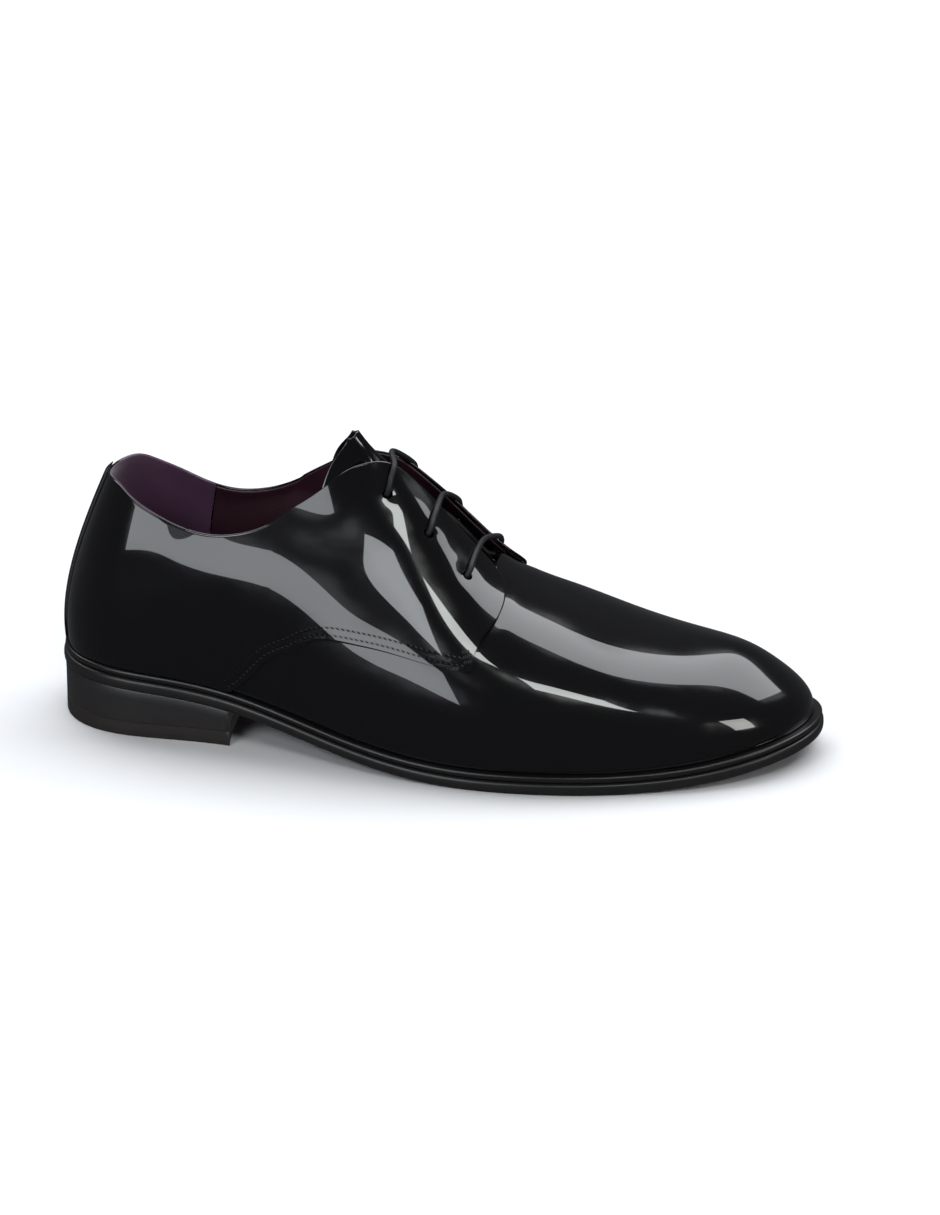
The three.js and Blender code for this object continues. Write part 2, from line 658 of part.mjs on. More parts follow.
function tongueSheet(top, thickness, shrink) {
  const lift = -LINING + LOW_LINING_TOP - CLEAR - TONGUE_TOP;
  const place = (height) => (i, j) => {
    const across = 2 * j - 1;
    const side = across < 0 ? OUTER : INNER;
    const s = mix(1, mix(0.5, 0.64, i) + shrink / 95, Math.abs(across));
    const x = mix(tongueTop(s) + shrink, TONGUE_FOOT, i);
    const rise = lift * smooth((i - 0.82) / 0.18);
    return tonguePoint(side, x, s, height + rise);
  };
  return slab(12, 12, place(top), place(top - thickness));
}

// ---- Lace ----------------------------------------------------------------------------------
// Straight lacing: one bar across at each pair of eyelets, runs between them underneath, and both
// ends tucked in beside the tongue. Heights count from the last's surface, stations from mid-shoe.
const RIB = 95; // millimetres of leather to one unit of height fraction, near the facings
const over = (side, x, s, height) => overLast(side, x, s, height);

// Points that bring the lace up through an eyelet, from an inside run along (dx, dy) to the bar.
function through(side, index, dx, dy) {
  const { station, height } = eyeletPlace(side, EYELETS[index]);
  const inside = (d, h) => over(side, station + d * dx, height + (d * dy) / RIB, h);
  const outside = (d, h) => over(side, station, height + d / RIB, h);
  return [
    inside(5, LACE_RUN), inside(1.7, LACE_RUN + 0.1), inside(0.1, -1.8), inside(0, 0), inside(0, 1),
    outside(1.8, LACE_BAR - 0.2), outside(5, LACE_BAR),
  ];
}

function bar(index) {
  const outer = eyeletPlace(OUTER, EYELETS[index]);
  const inner = eyeletPlace(INNER, EYELETS[index]);
  const middle = (outer.station + inner.station) / 2;
  return [
    over(OUTER, outer.station + 0.3, 0.85, LACE_BAR + CLEAR),
    over(OUTER, middle, 0.99, LACE_BAR - 1 - ridgeDrop(middle)),
    over(INNER, inner.station - 0.3, 0.8, LACE_BAR + CLEAR),
  ];
}

function laceRoute() {
  const innerPast = eyeletPlace(INNER, EYELETS[1]);
  const tuckedInner = [[-22, 0.5], [-13, 0.5], [-4, 0.53], [1, 0.585]];
  const tuckedOuter = [[-18, 0.64], [-18.5, 0.58], [-14.5, 0.53], [-8, 0.508], [-2, 0.5]];
  return [
    ...tuckedInner.map(([x, s]) => over(INNER, x, s, LACE_RUN)),
    ...through(INNER, 1, 0, -1),
    ...bar(1).reverse(),
    ...through(OUTER, 1, 1, 0).reverse(),
    ...through(OUTER, 2, -1, 0),
    ...bar(2),
    ...through(INNER, 2, -1, 0.4).reverse(),
    over(INNER, innerPast.station, innerPast.height + 5 / RIB, LACE_RUN),
    ...through(INNER, 0, 1, 0.2),
    ...bar(0).reverse(),
    ...through(OUTER, 0, 0, -1).reverse(),
    ...tuckedOuter.map(([x, s]) => over(OUTER, x, s, LACE_RUN)),
  ];
}

function roundBar(points, diameter, sides, steps) {
  const section = new THREE.Shape();
  section.absarc(0, 0, diameter / 2, 0, 2 * Math.PI);
  const geometry = new THREE.ExtrudeGeometry(section, {
    steps,
    curveSegments: sides / 2,
    bevelEnabled: false,
    extrudePath: new THREE.CatmullRomCurve3(points, false, "centripetal"),
  });
  return cut(geometry, []);
}

const AGLET_LENGTH = 12;
function aglet(side, spots) {
  const [from, to] = spots.map(([x, s]) => over(side, x, s, LACE_RUN));
  const along = to.clone().sub(from).normalize();
  return turned(peg(LACE / 2 + 0.05, CLEAR, AGLET_LENGTH), 8, from, along);
}

// ---- Assembly ------------------------------------------------------------------------------
const finish = (color, roughness, metalness = 0) =>
  new THREE.MeshStandardMaterial({ color, roughness, metalness, side: THREE.DoubleSide });
const patent = finish(0x0b0b0d, 0.08);
const edgeBlack = finish(0x1b1a1c, 0.4);
const purpleLining = finish(0x4a3342, 0.75);
const burgundyLining = finish(0x38262c, 0.55);
const boardTan = finish(0x9b7c58, 0.8);
const corkBrown = finish(0x8a6340, 0.9);
const steel = finish(0x9a9ca0, 0.35, 1);
const rubber = finish(0x2a2322, 0.6);
const waxedCord = finish(0x232326, 0.5);
const clearPlastic = finish(0x18181a, 0.25);

const shoe = new THREE.Group();
function add(name, geometry, material) {
  const mesh = new THREE.Mesh(geometry, material);
  mesh.name = name;
  shoe.add(mesh);
}

const weltTop = OUTSOLE + CLEAR + WELT;
const insoleInset = (x) => weltMargin(x / STRETCH) + LINING - LOW_LINING_TOP + 3 * CLEAR;
const blockLow = TOP_PIECE + CLEAR + LIFT + CLEAR;
const flat = (z) => () => z;

add("outsole", cut(layer(0, 0, OUTSOLE), nailSpots.map(nailHole)), edgeBlack);
add("welt", weltRing(), edgeBlack);
add("heel_block", cut(heelBlock(flat(blockLow), (x) => bottom(x) - CLEAR), nailSpots.map(nailHole)), edgeBlack);
add("heel_lift", heelBlock(flat(TOP_PIECE + CLEAR), flat(TOP_PIECE + CLEAR + LIFT)), edgeBlack);
add("heel_top_piece", heelBlock(flat(0), flat(TOP_PIECE)), rubber);
nailSpots.forEach((spot, i) => add("heel_nail_" + (i + 1), nail(spot), steel));
add("insole", cut(insoleLayer(weltTop + CLEAR, INSOLE, 0), nailSpots.map(nailHole)), boardTan);
add("sock_liner", insoleLayer(weltTop + CLEAR + INSOLE + CLEAR, SOCK, 0.4), purpleLining);
add("cork_filler", layer(WELT_WIDTH + 0.5, OUTSOLE + CLEAR, weltTop - 0.1, runOf(-8 * STRETCH), 1, 20), corkBrown);
add("shank", shankBar(), steel);

add("vamp", vamp(), patent);
add("vamp_lining", vampLining(), burgundyLining);
add("toe_puff", toePuff(), boardTan);
add("heel_counter", heelCounter(), boardTan);
add("heel_grip_lining", heelGrip(), purpleLining);
add("backstay", backstay(), patent);
add("tongue", tongueSheet(TONGUE_TOP, TONGUE, 0), patent);
add("tongue_lining", tongueSheet(TONGUE_TOP - TONGUE - CLEAR, TONGUE_LINING, 1), burgundyLining);

for (const [side, word] of [[OUTER, "lateral"], [INNER, "medial"]]) {
  add(word + "_quarter", quarter(side), patent);
  add(word + "_quarter_lining", quarterLining(side), burgundyLining);
  add(word + "_facing", facing(side), patent);
  add(word + "_facing_lining", facingLining(side), burgundyLining);
  EYELETS.forEach((spot, i) => add(word + "_eyelet_" + (i + 1), eyelet(side, spot), steel));
}

const route = laceRoute();
add("shoelace", roundBar(route, LACE, 8, 140), waxedCord);
add("lateral_aglet", aglet(OUTER, [[-2, 0.5], [10, 0.49]]), clearPlastic);
add("medial_aglet", aglet(INNER, [[-22, 0.5], [-34, 0.5]]), clearPlastic);

export default shoe;
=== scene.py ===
# %% [markdown]
# # A patent leather derby shoe
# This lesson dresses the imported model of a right-foot derby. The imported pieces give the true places
# and sizes. Around them we make the finer skins that the eye sees: glossy uppers with rounded edges,
# a suede heel grip, stitched seams, a waxed lace and a burnished sole.

import json
import math

import bmesh
import bpy
import numpy as np
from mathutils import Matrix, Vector


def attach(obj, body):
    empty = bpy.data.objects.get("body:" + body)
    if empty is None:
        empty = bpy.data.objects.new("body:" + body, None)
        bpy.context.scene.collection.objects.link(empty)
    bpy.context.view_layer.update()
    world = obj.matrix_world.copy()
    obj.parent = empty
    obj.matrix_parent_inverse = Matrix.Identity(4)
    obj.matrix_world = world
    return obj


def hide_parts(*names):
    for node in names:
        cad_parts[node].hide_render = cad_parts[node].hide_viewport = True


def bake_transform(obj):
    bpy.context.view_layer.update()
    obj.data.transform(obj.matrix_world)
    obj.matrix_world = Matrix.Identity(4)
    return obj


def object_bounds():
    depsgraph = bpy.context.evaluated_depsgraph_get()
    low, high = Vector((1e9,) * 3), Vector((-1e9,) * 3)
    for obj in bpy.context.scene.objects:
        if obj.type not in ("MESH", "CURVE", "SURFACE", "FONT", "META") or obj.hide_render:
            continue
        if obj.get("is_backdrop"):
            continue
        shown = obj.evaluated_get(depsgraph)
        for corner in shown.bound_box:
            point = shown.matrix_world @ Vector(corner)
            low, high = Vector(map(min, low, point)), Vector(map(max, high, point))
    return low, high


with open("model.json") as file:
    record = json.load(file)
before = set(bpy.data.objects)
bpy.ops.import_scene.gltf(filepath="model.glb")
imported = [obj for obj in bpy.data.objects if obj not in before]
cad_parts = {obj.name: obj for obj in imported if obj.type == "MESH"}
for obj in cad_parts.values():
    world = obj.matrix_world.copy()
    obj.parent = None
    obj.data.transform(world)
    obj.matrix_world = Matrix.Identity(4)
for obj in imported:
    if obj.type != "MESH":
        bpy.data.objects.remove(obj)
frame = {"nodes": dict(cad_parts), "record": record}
cad_low, cad_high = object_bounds()
print("packed box, mm:", [round(1000 * (b - a)) for a, b in zip(cad_low, cad_high)])

# %% [markdown]
# ## Curves
# A shoemaker bends a thin wooden batten through a few marks to draw a fair line. A natural cubic
# spline does the same for numbers, so every outline of the shoe is a short list of marks.

# %% Fair curves
MM = 0.001


def batten(marks):
    """A natural cubic spline through (place, value) marks, for numbers or arrays."""
    x, y = np.array(marks, float).T
    gap = np.diff(x)
    last = len(x) - 1
    system, pull = np.eye(last + 1), np.zeros(last + 1)
    for i in range(1, last):
        system[i, i - 1 : i + 2] = gap[i - 1], 2 * (gap[i - 1] + gap[i]), gap[i]
        pull[i] = 6 * ((y[i + 1] - y[i]) / gap[i] - (y[i] - y[i - 1]) / gap[i - 1])
    bend = np.linalg.solve(system, pull)

    def value(at):
        at = np.asarray(at, float)
        i = np.clip(np.searchsorted(x, at) - 1, 0, last - 1)
        a = (x[i + 1] - at) / gap[i]
        b = 1 - a
        sag = ((a**3 - a) * bend[i] + (b**3 - b) * bend[i + 1]) * gap[i] ** 2 / 6
        return a * y[i] + b * y[i + 1] + sag

    return value


def pattern_curve(marks):
    """A fair path through (station, height) marks, run from 0 to 1."""
    marks = np.array(marks, float)
    steps = np.hypot(np.diff(marks[:, 0]) / 100, np.diff(marks[:, 1]))
    run = np.concatenate([[0], np.cumsum(steps)]) / steps.sum()
    along = batten(np.column_stack([run, marks[:, 0]]))
    up = batten(np.column_stack([run, marks[:, 1]]))
    return lambda t: (along(t), up(t))


def smooth(t):
    t = np.clip(t, 0, 1)
    return t * t * (3 - 2 * t)


def soft_step(value, start, over):
    """Climbs smoothly from 0 at start to 1 a stretch further on."""
    return smooth((value - start) / over)


def mix(a, b, t):
    return a + (b - a) * t


def soft_min(a, b, soft):
    return -soft * np.log(np.exp(-a / soft) + np.exp(-b / soft))


def unit(vectors):
    """Vectors of length one in the same directions."""
    return vectors / np.maximum(np.linalg.norm(vectors, axis=-1, keepdims=True), 1e-12)


print("a batten through 0, 1, 0 passes", float(batten([(0, 0), (1, 1), (2, 0)])(1)), "in the middle")

# %% [markdown]
# ## The last
# A shoe is built over a last, a solid foot shape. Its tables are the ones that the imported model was
# made from, so the skins made here lie where its pieces do, or a little closer to the last. Stations
# run along the shoe in millimetres, and a height fraction from the sole's edge (0) to the ridge (1).

# %% Tables of the last
OUTER, INNER = -1, 1
HALF = 150
CENTRE_Y = 5.8
HEEL_HEIGHT, TOE_SPRING = 21.5, 9
OUTSOLE, WELT, WELT_WIDTH, CLEAR = 4.6, 2.5, 9.5, 0.3

outer_width = batten([
    (-150, 33), (-110, 34), (-80, 35), (-40, 44), (0, 54.5),
    (35, 57.5), (70, 54), (100, 46.5), (125, 40), (150, 36),
])
inner_width = batten([
    (-150, 33), (-110, 34), (-80, 32), (-45, 28.5), (-10, 30),
    (30, 40), (60, 45.5), (90, 44.5), (120, 38.5), (150, 34),
])
mid_line = batten([(-150, 0), (-60, 0), (0, -0.5), (60, 0), (100, 1.5), (150, 5)])
heel_rise = batten([(-150, 1), (-80, 0.7), (-25, 0.185), (20, 0), (45, 0), (150, 0)])
toe_rise = batten([(-150, 0), (45, 0), (75, 0), (110, 0.245), (150, 1)])
welt_margin = batten([(-150, 3.6), (-80, 2.7), (-30, 2.8), (20, 2.8), (80, 3.2), (150, 4.2)])
ridge_height = batten([
    (-90, 152), (-55, 174.5), (-25, 126), (0, 96.5), (25, 70.5),
    (50, 58), (75, 49), (100, 42.8), (125, 36), (150, 18),
])
ridge_line = batten([(-150, 0), (-80, 0), (-30, 3), (20, 5), (70, 5), (110, 5), (150, 5)])
fullness = batten([
    (-150, -0.06), (-110, -0.185), (-70, -0.285), (-30, -0.15),
    (20, 0.05), (70, 0.09), (110, 0.03), (150, -0.08),
])
outer_bulge = batten([(-150, 2), (-90, 1.5), (-30, 1), (30, 1), (90, 1.2), (150, 1)])
inner_bulge = batten([(-150, 2), (-90, 3), (-30, 5), (20, 3), (90, 1.5), (150, 1)])
print("the last is", 2 * HALF, "mm long")


# %% Bottom and edge of the last
def station_of(u):
    return -HALF * np.cos(np.pi * u)


def run_of(x):
    return np.arccos(np.clip(-np.asarray(x, float) / HALF, -1, 1)) / np.pi


def bottom_curve(x):
    return HEEL_HEIGHT * heel_rise(x) + TOE_SPRING * toe_rise(x)


def bottom(x):
    return np.maximum(0, bottom_curve(x))


def ridge(x):
    return ridge_height(x) + bottom_curve(x)


def fold(side, u, s):
    """Past the ends of the heel, the toe or the ridge, a point belongs to the other side."""
    side, u, s = (np.array(v, float) for v in np.broadcast_arrays(side, u, s))
    side = np.where(s > 1, -side, side)
    s = np.where(s > 1, 2 - s, s)
    side = np.where((u < 0) | (u > 1), -side, side)
    return side, np.where(u > 1, 2 - u, np.abs(u)), s


HEEL_CURL, TOE_CURL = 48, 62  # how far from each end the outline starts to close, mm


def sole_edge(side, u):
    side, u, _ = fold(side, u, 0)
    x = station_of(u)
    heel = 1 - np.clip((x + HALF) / HEEL_CURL, 0, 1)
    toe = 1 - np.clip((HALF - x) / TOE_CURL, 0, 1)
    cap = np.sqrt(1 - heel**3) * np.sqrt(1 - toe**3)
    width = np.where(side == OUTER, outer_width(x), inner_width(x))
    return x, CENTRE_Y + mid_line(x) + side * width * cap


NUDGE = 2e-3  # the small step that slopes are measured over


def inset_edge(side, u, inset):
    """The sole's outline in plan, drawn in by so many millimetres."""
    back, front = sole_edge(side, u - NUDGE), sole_edge(side, u + NUDGE)
    dx, dy = front[0] - back[0], front[1] - back[1]
    length = np.hypot(dx, dy)
    x, y = sole_edge(side, u)
    return x + side * dy / length * inset, y - side * dx / length * inset


print("widest half of the sole, mm:", round(float(outer_width(35)), 1))


# %% Surface of the last
RIDGE_BACK, RIDGE_FRONT, RIDGE_SOFT = -80, 112, 12  # stations where the ridge stops, and how softly
BULGE_PEAK = 0.2212  # the greatest value of the bulge's curve, which scales it to millimetres


def last_point(side, u, s):
    """The last's surface: arcs that climb from the sole's edge to the ridge."""
    side, u, s = fold(side, u, s)
    x = station_of(u)
    fx, fy = inset_edge(side, u, welt_margin(x))
    fz = bottom(fx) + OUTSOLE + CLEAR + WELT + CLEAR
    rx = -soft_min(-soft_min(x, RIDGE_FRONT, RIDGE_SOFT), -RIDGE_BACK, RIDGE_SOFT)
    ry = CENTRE_Y + ridge_line(rx)
    rz = ridge(rx)
    slope = ridge(rx + 0.5) - ridge(rx - 0.5)
    angle = s * np.pi / 2
    swell = 1 + fullness(x) * np.sin(2 * angle) ** 2
    out, up = swell * np.cos(angle), swell * np.sin(angle)
    bulge = np.where(side == OUTER, outer_bulge(x), inner_bulge(x))
    belly = bulge * np.sin(angle) * np.abs(np.cos(angle)) ** 7 / BULGE_PEAK
    reach = out + belly / np.hypot(fx - rx, fy - ry)
    px, py = rx + (fx - rx) * reach, ry + (fy - ry) * reach
    drop = rz + slope * (fx - rx) - fz
    return np.stack([px, py, rz + slope * (px - rx) - drop * (1 - up)], -1)


def outward(side, x, s):
    """The direction square to the last, away from it."""
    u = run_of(x)
    u = np.where(np.asarray(s) > 0.98, np.minimum(u, 0.995), u)
    along = last_point(side, u + NUDGE, s) - last_point(side, u - NUDGE, s)
    upward = last_point(side, u, s + NUDGE) - last_point(side, u, s - NUDGE)
    return unit(np.cross(along, upward) * -np.asarray(side, float)[..., None])


def over_last(side, x, s, height):
    """Points at a height over the last's surface, square to it, in millimetres."""
    side, x, s, height = (np.array(v, float) for v in np.broadcast_arrays(side, x, s, height))
    return last_point(side, run_of(x), s) + outward(side, x, s) * height[..., None]


print("a point on the vamp, mm:", over_last(OUTER, 60.0, 0.8, 0.0).round(1))

# %% [markdown]
# ## Leather sheets
# A cut piece of leather has a face, a back and a folded, rounded edge that catches a thin line of
# light. A Solidify modifier would give it a square edge and a Bevel would choke where the grid runs
# together at the toe, so the edge is rolled by hand: each border point is swept through a half circle.


# %% Weld grids into one surface
WELD = 2e-3  # points closer than this are one point, mm


def weld(grids):
    """Joins grids of points (rows, columns, 3) into one list of points and one of faces."""
    points = np.concatenate([g.reshape(-1, 3) for g, _ in grids])
    keys = np.round(points / WELD).astype(np.int64)
    _, first, index = np.unique(keys, axis=0, return_index=True, return_inverse=True)
    index = index.ravel()
    faces, start = [], 0
    for grid, flip in grids:
        rows, cols = grid.shape[:2]
        at = index[start : start + rows * cols].reshape(rows, cols)
        start += rows * cols
        corners = np.stack([at[:-1, :-1], at[1:, :-1], at[1:, 1:], at[:-1, 1:]], -1).reshape(-1, 4)
        faces += [list(dict.fromkeys(f)) for f in (corners[:, ::-1] if flip else corners).tolist()]
    return points[first], [f for f in faces if len(f) > 2], first


def normals_of(points, faces):
    normals = np.zeros_like(points)
    for size in (3, 4):
        f = np.array([q for q in faces if len(q) == size])
        if len(f):
            square = np.cross(points[f[:, 1]] - points[f[:, -1]], points[f[:, 2]] - points[f[:, 0]])
            for k in range(size):
                np.add.at(normals, f[:, k], square)
    return unit(normals)


def border_of(faces):
    """The edges that only one face uses, in that face's direction."""
    used = {}
    for f in faces:
        for a, b in zip(f, f[1:] + f[:1]):
            used[(a, b)] = True
    return np.array([e for e in used if (e[1], e[0]) not in used])


collection = bpy.context.scene.collection


def make_object(name, points, faces, material=None):
    """A mesh object from points in millimetres."""
    mesh = bpy.data.meshes.new(name)
    mesh.from_pydata((np.asarray(points) * MM).tolist(), [], faces)
    mesh.validate()
    mesh.polygons.foreach_set("use_smooth", [True] * len(mesh.polygons))
    obj = bpy.data.objects.new(name, mesh)
    collection.objects.link(obj)
    if material:
        mesh.materials.append(material)
    return obj


def edit_mesh(mesh, change):
    """Opens a mesh, lets change work on it, and writes it back."""
    shell = bmesh.new()
    shell.from_mesh(mesh)
    change(shell)
    shell.to_mesh(mesh)
    shell.free()


# %% Give a surface its thickness and a rolled edge
ROLL = 5  # steps round the rolled edge


def leather_sheet(name, grids, thickness, material, marks=None):
    """A sheet whose face is the grids' surface. marks holds one number per grid point, by name."""
    points, faces, first = weld(grids)
    face_out = normals_of(points, faces)
    border = border_of(faces)
    radius = thickness / 2
    side_out = np.zeros_like(points)
    run = points[border[:, 1]] - points[border[:, 0]]
    away = unit(np.cross(run, face_out[border[:, 0]] + face_out[border[:, 1]]))
    for k in (0, 1):
        np.add.at(side_out, border[:, k], away)
    rim = np.unique(border)
    side_out[rim] = unit(side_out[rim])
    points = points - side_out * radius
    middle = points - face_out * radius
    count = len(points)
    place = np.full(count, -1)
    place[rim] = np.arange(len(rim))
    all_points = [points, points - face_out * thickness]
    rings = [rim]
    for k in range(1, ROLL):
        angle = np.pi / 2 - np.pi * k / ROLL
        all_points.append((middle + radius * (np.sin(angle) * face_out + np.cos(angle) * side_out))[rim])
        rings.append(2 * count + (k - 1) * len(rim) + np.arange(len(rim)))
    rings.append(count + rim)
    all_faces = faces + [[count + v for v in reversed(f)] for f in faces]
    for upper, lower in zip(rings, rings[1:]):
        a, b = place[border[:, 0]], place[border[:, 1]]
        all_faces += np.stack([upper[b], upper[a], lower[a], lower[b]], 1).tolist()
    obj = make_object(name, np.concatenate(all_points), all_faces, material)
    for word, values in (marks or {}).items():
        flat = np.concatenate([v.ravel() for v in values])[first]
        flat = np.concatenate([flat, flat] + [flat[rim]] * (ROLL - 1)).astype(np.float32)
        obj.data.attributes.new(word, "FLOAT", "POINT").data.foreach_set("value", flat)
    print(name, len(obj.data.polygons), "faces")
    return obj


def height_run(grid):
    """For each point of a grid, the distance in millimetres from its column's first point."""
    steps = np.linalg.norm(np.diff(grid, axis=1), axis=2)
    return np.concatenate([np.zeros((len(grid), 1)), np.cumsum(steps, axis=1)], axis=1)


# %% [markdown]
# ## Finishes
# Each finish is a small tree of shader nodes. To keep them readable, a wrapper lets us write shader
# maths as ordinary expressions, and one method makes any other node. Every pattern reads the
# object's own coordinates or a mark stored on the mesh, so it stays put when the shoe moves.


# %% A wrapper for shader sockets
def operator(operation, swapped=False):
    """An operator of Value that adds one Math node. Swapped, the value is the second term."""

    def apply(value, other=0.0):
        node = value.finish.tree.nodes.new("ShaderNodeMath")
        node.operation = operation
        for socket, term in zip(node.inputs, (other, value) if swapped else (value, other)):
            value.finish.feed(socket, term)
        return Value(value.finish, node.outputs[0])

    return apply


class Value:
    """A shader socket that can be added, multiplied and compared as a number."""

    def __init__(self, finish, socket):
        self.finish, self.socket = finish, socket

    __add__ = __radd__ = operator("ADD")
    __mul__ = __rmul__ = operator("MULTIPLY")
    __sub__, __rsub__ = operator("SUBTRACT"), operator("SUBTRACT", swapped=True)
    __truediv__, __rtruediv__ = operator("DIVIDE"), operator("DIVIDE", swapped=True)
    at_most, at_least = operator("MINIMUM"), operator("MAXIMUM")
    size, sine = operator("ABSOLUTE"), operator("SINE")


class Finish:
    """A material and the tree that paints it."""

    def __init__(self, name, **constants):
        self.material = bpy.data.materials.new(name)
        self.material.use_nodes = True
        self.tree = self.material.node_tree
        self.shader = self.tree.nodes["Principled BSDF"]
        for socket, value in constants.items():
            self.shader.inputs[socket.replace("_", " ")].default_value = value

    def feed(self, socket, term):
        if isinstance(term, Value):
            self.tree.links.new(term.socket, socket)
        else:
            socket.default_value = term

    def node(self, kind, settings=None, output=0, **sockets):
        """Any node: its settings first, then the values or links of its sockets."""
        made = self.tree.nodes.new("ShaderNode" + kind)
        for word, value in (settings or {}).items():
            setattr(made, word, value)
        for word, term in sockets.items():
            self.feed(made.inputs[word.replace("_", " ")], term)
        return Value(self, made.outputs[output])

    def place(self):
        return self.node("TexCoord", output="Object")

    def stretched(self, scale):
        return self.node("Mapping", Vector=self.place(), Scale=scale)

    def noise(self, scale, detail=2.0, roughness=0.5, where=None):
        where = where or self.place()
        return self.node("TexNoise", Vector=where, Scale=scale, Detail=detail, Roughness=roughness)

    def mark(self, word):
        return self.node("Attribute", {"attribute_name": word}, output="Fac")

    def blend_colours(self, share, first, second):
        made = self.tree.nodes.new("ShaderNodeMix")
        made.data_type = "RGBA"
        self.feed(made.inputs[0], share)
        self.feed(made.inputs[6], first)
        self.feed(made.inputs[7], second)
        return Value(self, made.outputs[2])

    def bump(self, height, distance, strength=1.0, under=None):
        sockets = {"Height": height, "Distance": distance, "Strength": strength}
        if under:
            sockets["Normal"] = under
        return self.node("Bump", **sockets)

    def paint(self, **sockets):
        for word, term in sockets.items():
            self.feed(self.shader.inputs[word.replace("_", " ")], term)
        print("finish", self.material.name, "has", len(self.tree.nodes), "nodes")
        return self.material


# %% [markdown]
# ### Patent leather
# Patent leather is dyed hide under a poured gloss. The mirror is smooth, yet it lies over leather
# that is not flat, so reflections wander like those in still water. A clear coat over a nearly black
# base gives the depth, and wide, very low noise in the bump gives the wandering edge.

# %% Patent leather
BLACK, BLACK_LIT = (0.0022, 0.0022, 0.0026, 1), (0.0042, 0.0041, 0.0048, 1)
SEAM_ROWS = (2.3, 5.2)  # how far the two stitched rows lie from the quarter's edge, mm
ROW_DIP = 0.55  # half width of the dent that a row pulls into the leather, mm
PUCKER_REACH = 9.0  # how far from the edge the stitching puckers the leather, mm


def patent_leather(name, seamed=False):
    finish = Finish(name, Coat_Weight=1.0, Coat_Roughness=0.02, Coat_IOR=1.5, Specular_IOR_Level=0.12)
    sway = finish.noise(24.0, detail=1.0)
    ripple = finish.noise(85.0, detail=2.0)
    pores = finish.noise(1400.0, detail=2.0)
    normal = finish.bump(sway, 0.0042, 0.75)
    normal = finish.bump(ripple, 0.0002, 0.6, under=normal)
    normal = finish.bump(pores, 0.000012, 0.35, under=normal)
    if seamed:
        seam = finish.mark("seam_run")
        for row in SEAM_ROWS:
            away = ((seam - row).size() / ROW_DIP).at_most(1.0)
            normal = finish.bump(away, 0.00022, 0.9, under=normal)
        pucker = finish.noise(420.0, detail=1.0)
        near = (1 - seam / PUCKER_REACH).at_least(0.0)
        normal = finish.bump(pucker * near, 0.00018, 0.6, under=normal)
    smudge = finish.noise(38.0, detail=4.0, roughness=0.6)
    depth = finish.noise(14.0, detail=3.0)
    base = finish.blend_colours(depth, BLACK, BLACK_LIT)
    return finish.paint(Base_Color=base, Roughness=0.1 + smudge * 0.12, Normal=normal)


patent = patent_leather("patent_leather")
patent_seamed = patent_leather("patent_leather_seamed", seamed=True)

# %% [markdown]
# ### Linings, suede and raw pieces
# The heel grip is suede: a fine nap that scatters light, lighter where it has been brushed. The
# lining further forward is smooth calf, dark and slightly shiny, with shallow pores.


# %% Soft finishes
def suede(name, dark, light):
    finish = Finish(name, Sheen_Weight=0.6, Sheen_Roughness=0.4, Specular_IOR_Level=0.15)
    brushed = finish.noise(60.0, detail=4.0, roughness=0.6)
    nap = finish.noise(2600.0, detail=3.0, roughness=0.7)
    colour = finish.blend_colours(brushed * 0.6 + nap * 0.4, dark, light)
    normal = finish.bump(nap, 0.00018, 0.8)
    return finish.paint(Base_Color=colour, Roughness=0.85 + nap * 0.15, Normal=normal)


def lining_calf(name, dark, light, roughness=0.42):
    finish = Finish(name, Specular_IOR_Level=0.4)
    cloud = finish.noise(34.0, detail=4.0, roughness=0.6)
    pores = finish.node("TexVoronoi", Vector=finish.place(), Scale=1300.0)
    colour = finish.blend_colours(cloud, dark, light)
    normal = finish.bump(pores, 0.00006, 0.7)
    return finish.paint(Base_Color=colour, Roughness=roughness + cloud * 0.14, Normal=normal)


grip_suede = suede("grip_suede", (0.062, 0.025, 0.056, 1), (0.135, 0.06, 0.12, 1))
sock_suede = suede("sock_suede", (0.06, 0.018, 0.055, 1), (0.11, 0.036, 0.105, 1))
lining = lining_calf("lining_leather", (0.022, 0.006, 0.011, 1), (0.045, 0.013, 0.022, 1))
board = lining_calf("counter_board", (0.3, 0.2, 0.12, 1), (0.42, 0.3, 0.19, 1), roughness=0.7)

# %% [markdown]
# ### Sole, heel and small metal
# The edge of the sole is leather that has been dyed, waxed and burnished with a hot iron, which
# leaves faint lines along it. The heel is a stack of such leather on a rubber top piece.


# %% Hard finishes
def burnished_edge(name, dark, light, roughness, brown=None, brown_top=0.0):
    finish = Finish(name, Coat_Weight=0.25, Coat_Roughness=0.3, Specular_IOR_Level=0.45)
    drawn = finish.noise(1.0, detail=4.0, where=finish.stretched((60, 60, 2600)))
    cloud = finish.noise(55.0, detail=4.0, roughness=0.6)
    colour = finish.blend_colours(cloud * 0.6 + drawn * 0.4, dark, light)
    if brown:
        height = finish.node("SeparateXYZ", Vector=finish.place(), output="Z")
        low = (1 - height / brown_top).at_least(0.0).at_most(1.0)
        colour = finish.blend_colours(low * 0.7, colour, brown)
    normal = finish.bump(drawn, 0.00005, 0.5)
    normal = finish.bump(cloud, 0.00016, 0.35, under=normal)
    return finish.paint(Base_Color=colour, Roughness=roughness + cloud * 0.12, Normal=normal)


def plain_metal(name, colour, roughness):
    finish = Finish(name, Metallic=1.0)
    wear = finish.noise(300.0, detail=3.0)
    dull = finish.blend_colours(wear, colour, [c * 0.7 for c in colour[:3]] + [1])
    return finish.paint(Base_Color=dull, Roughness=roughness + wear * 0.15)


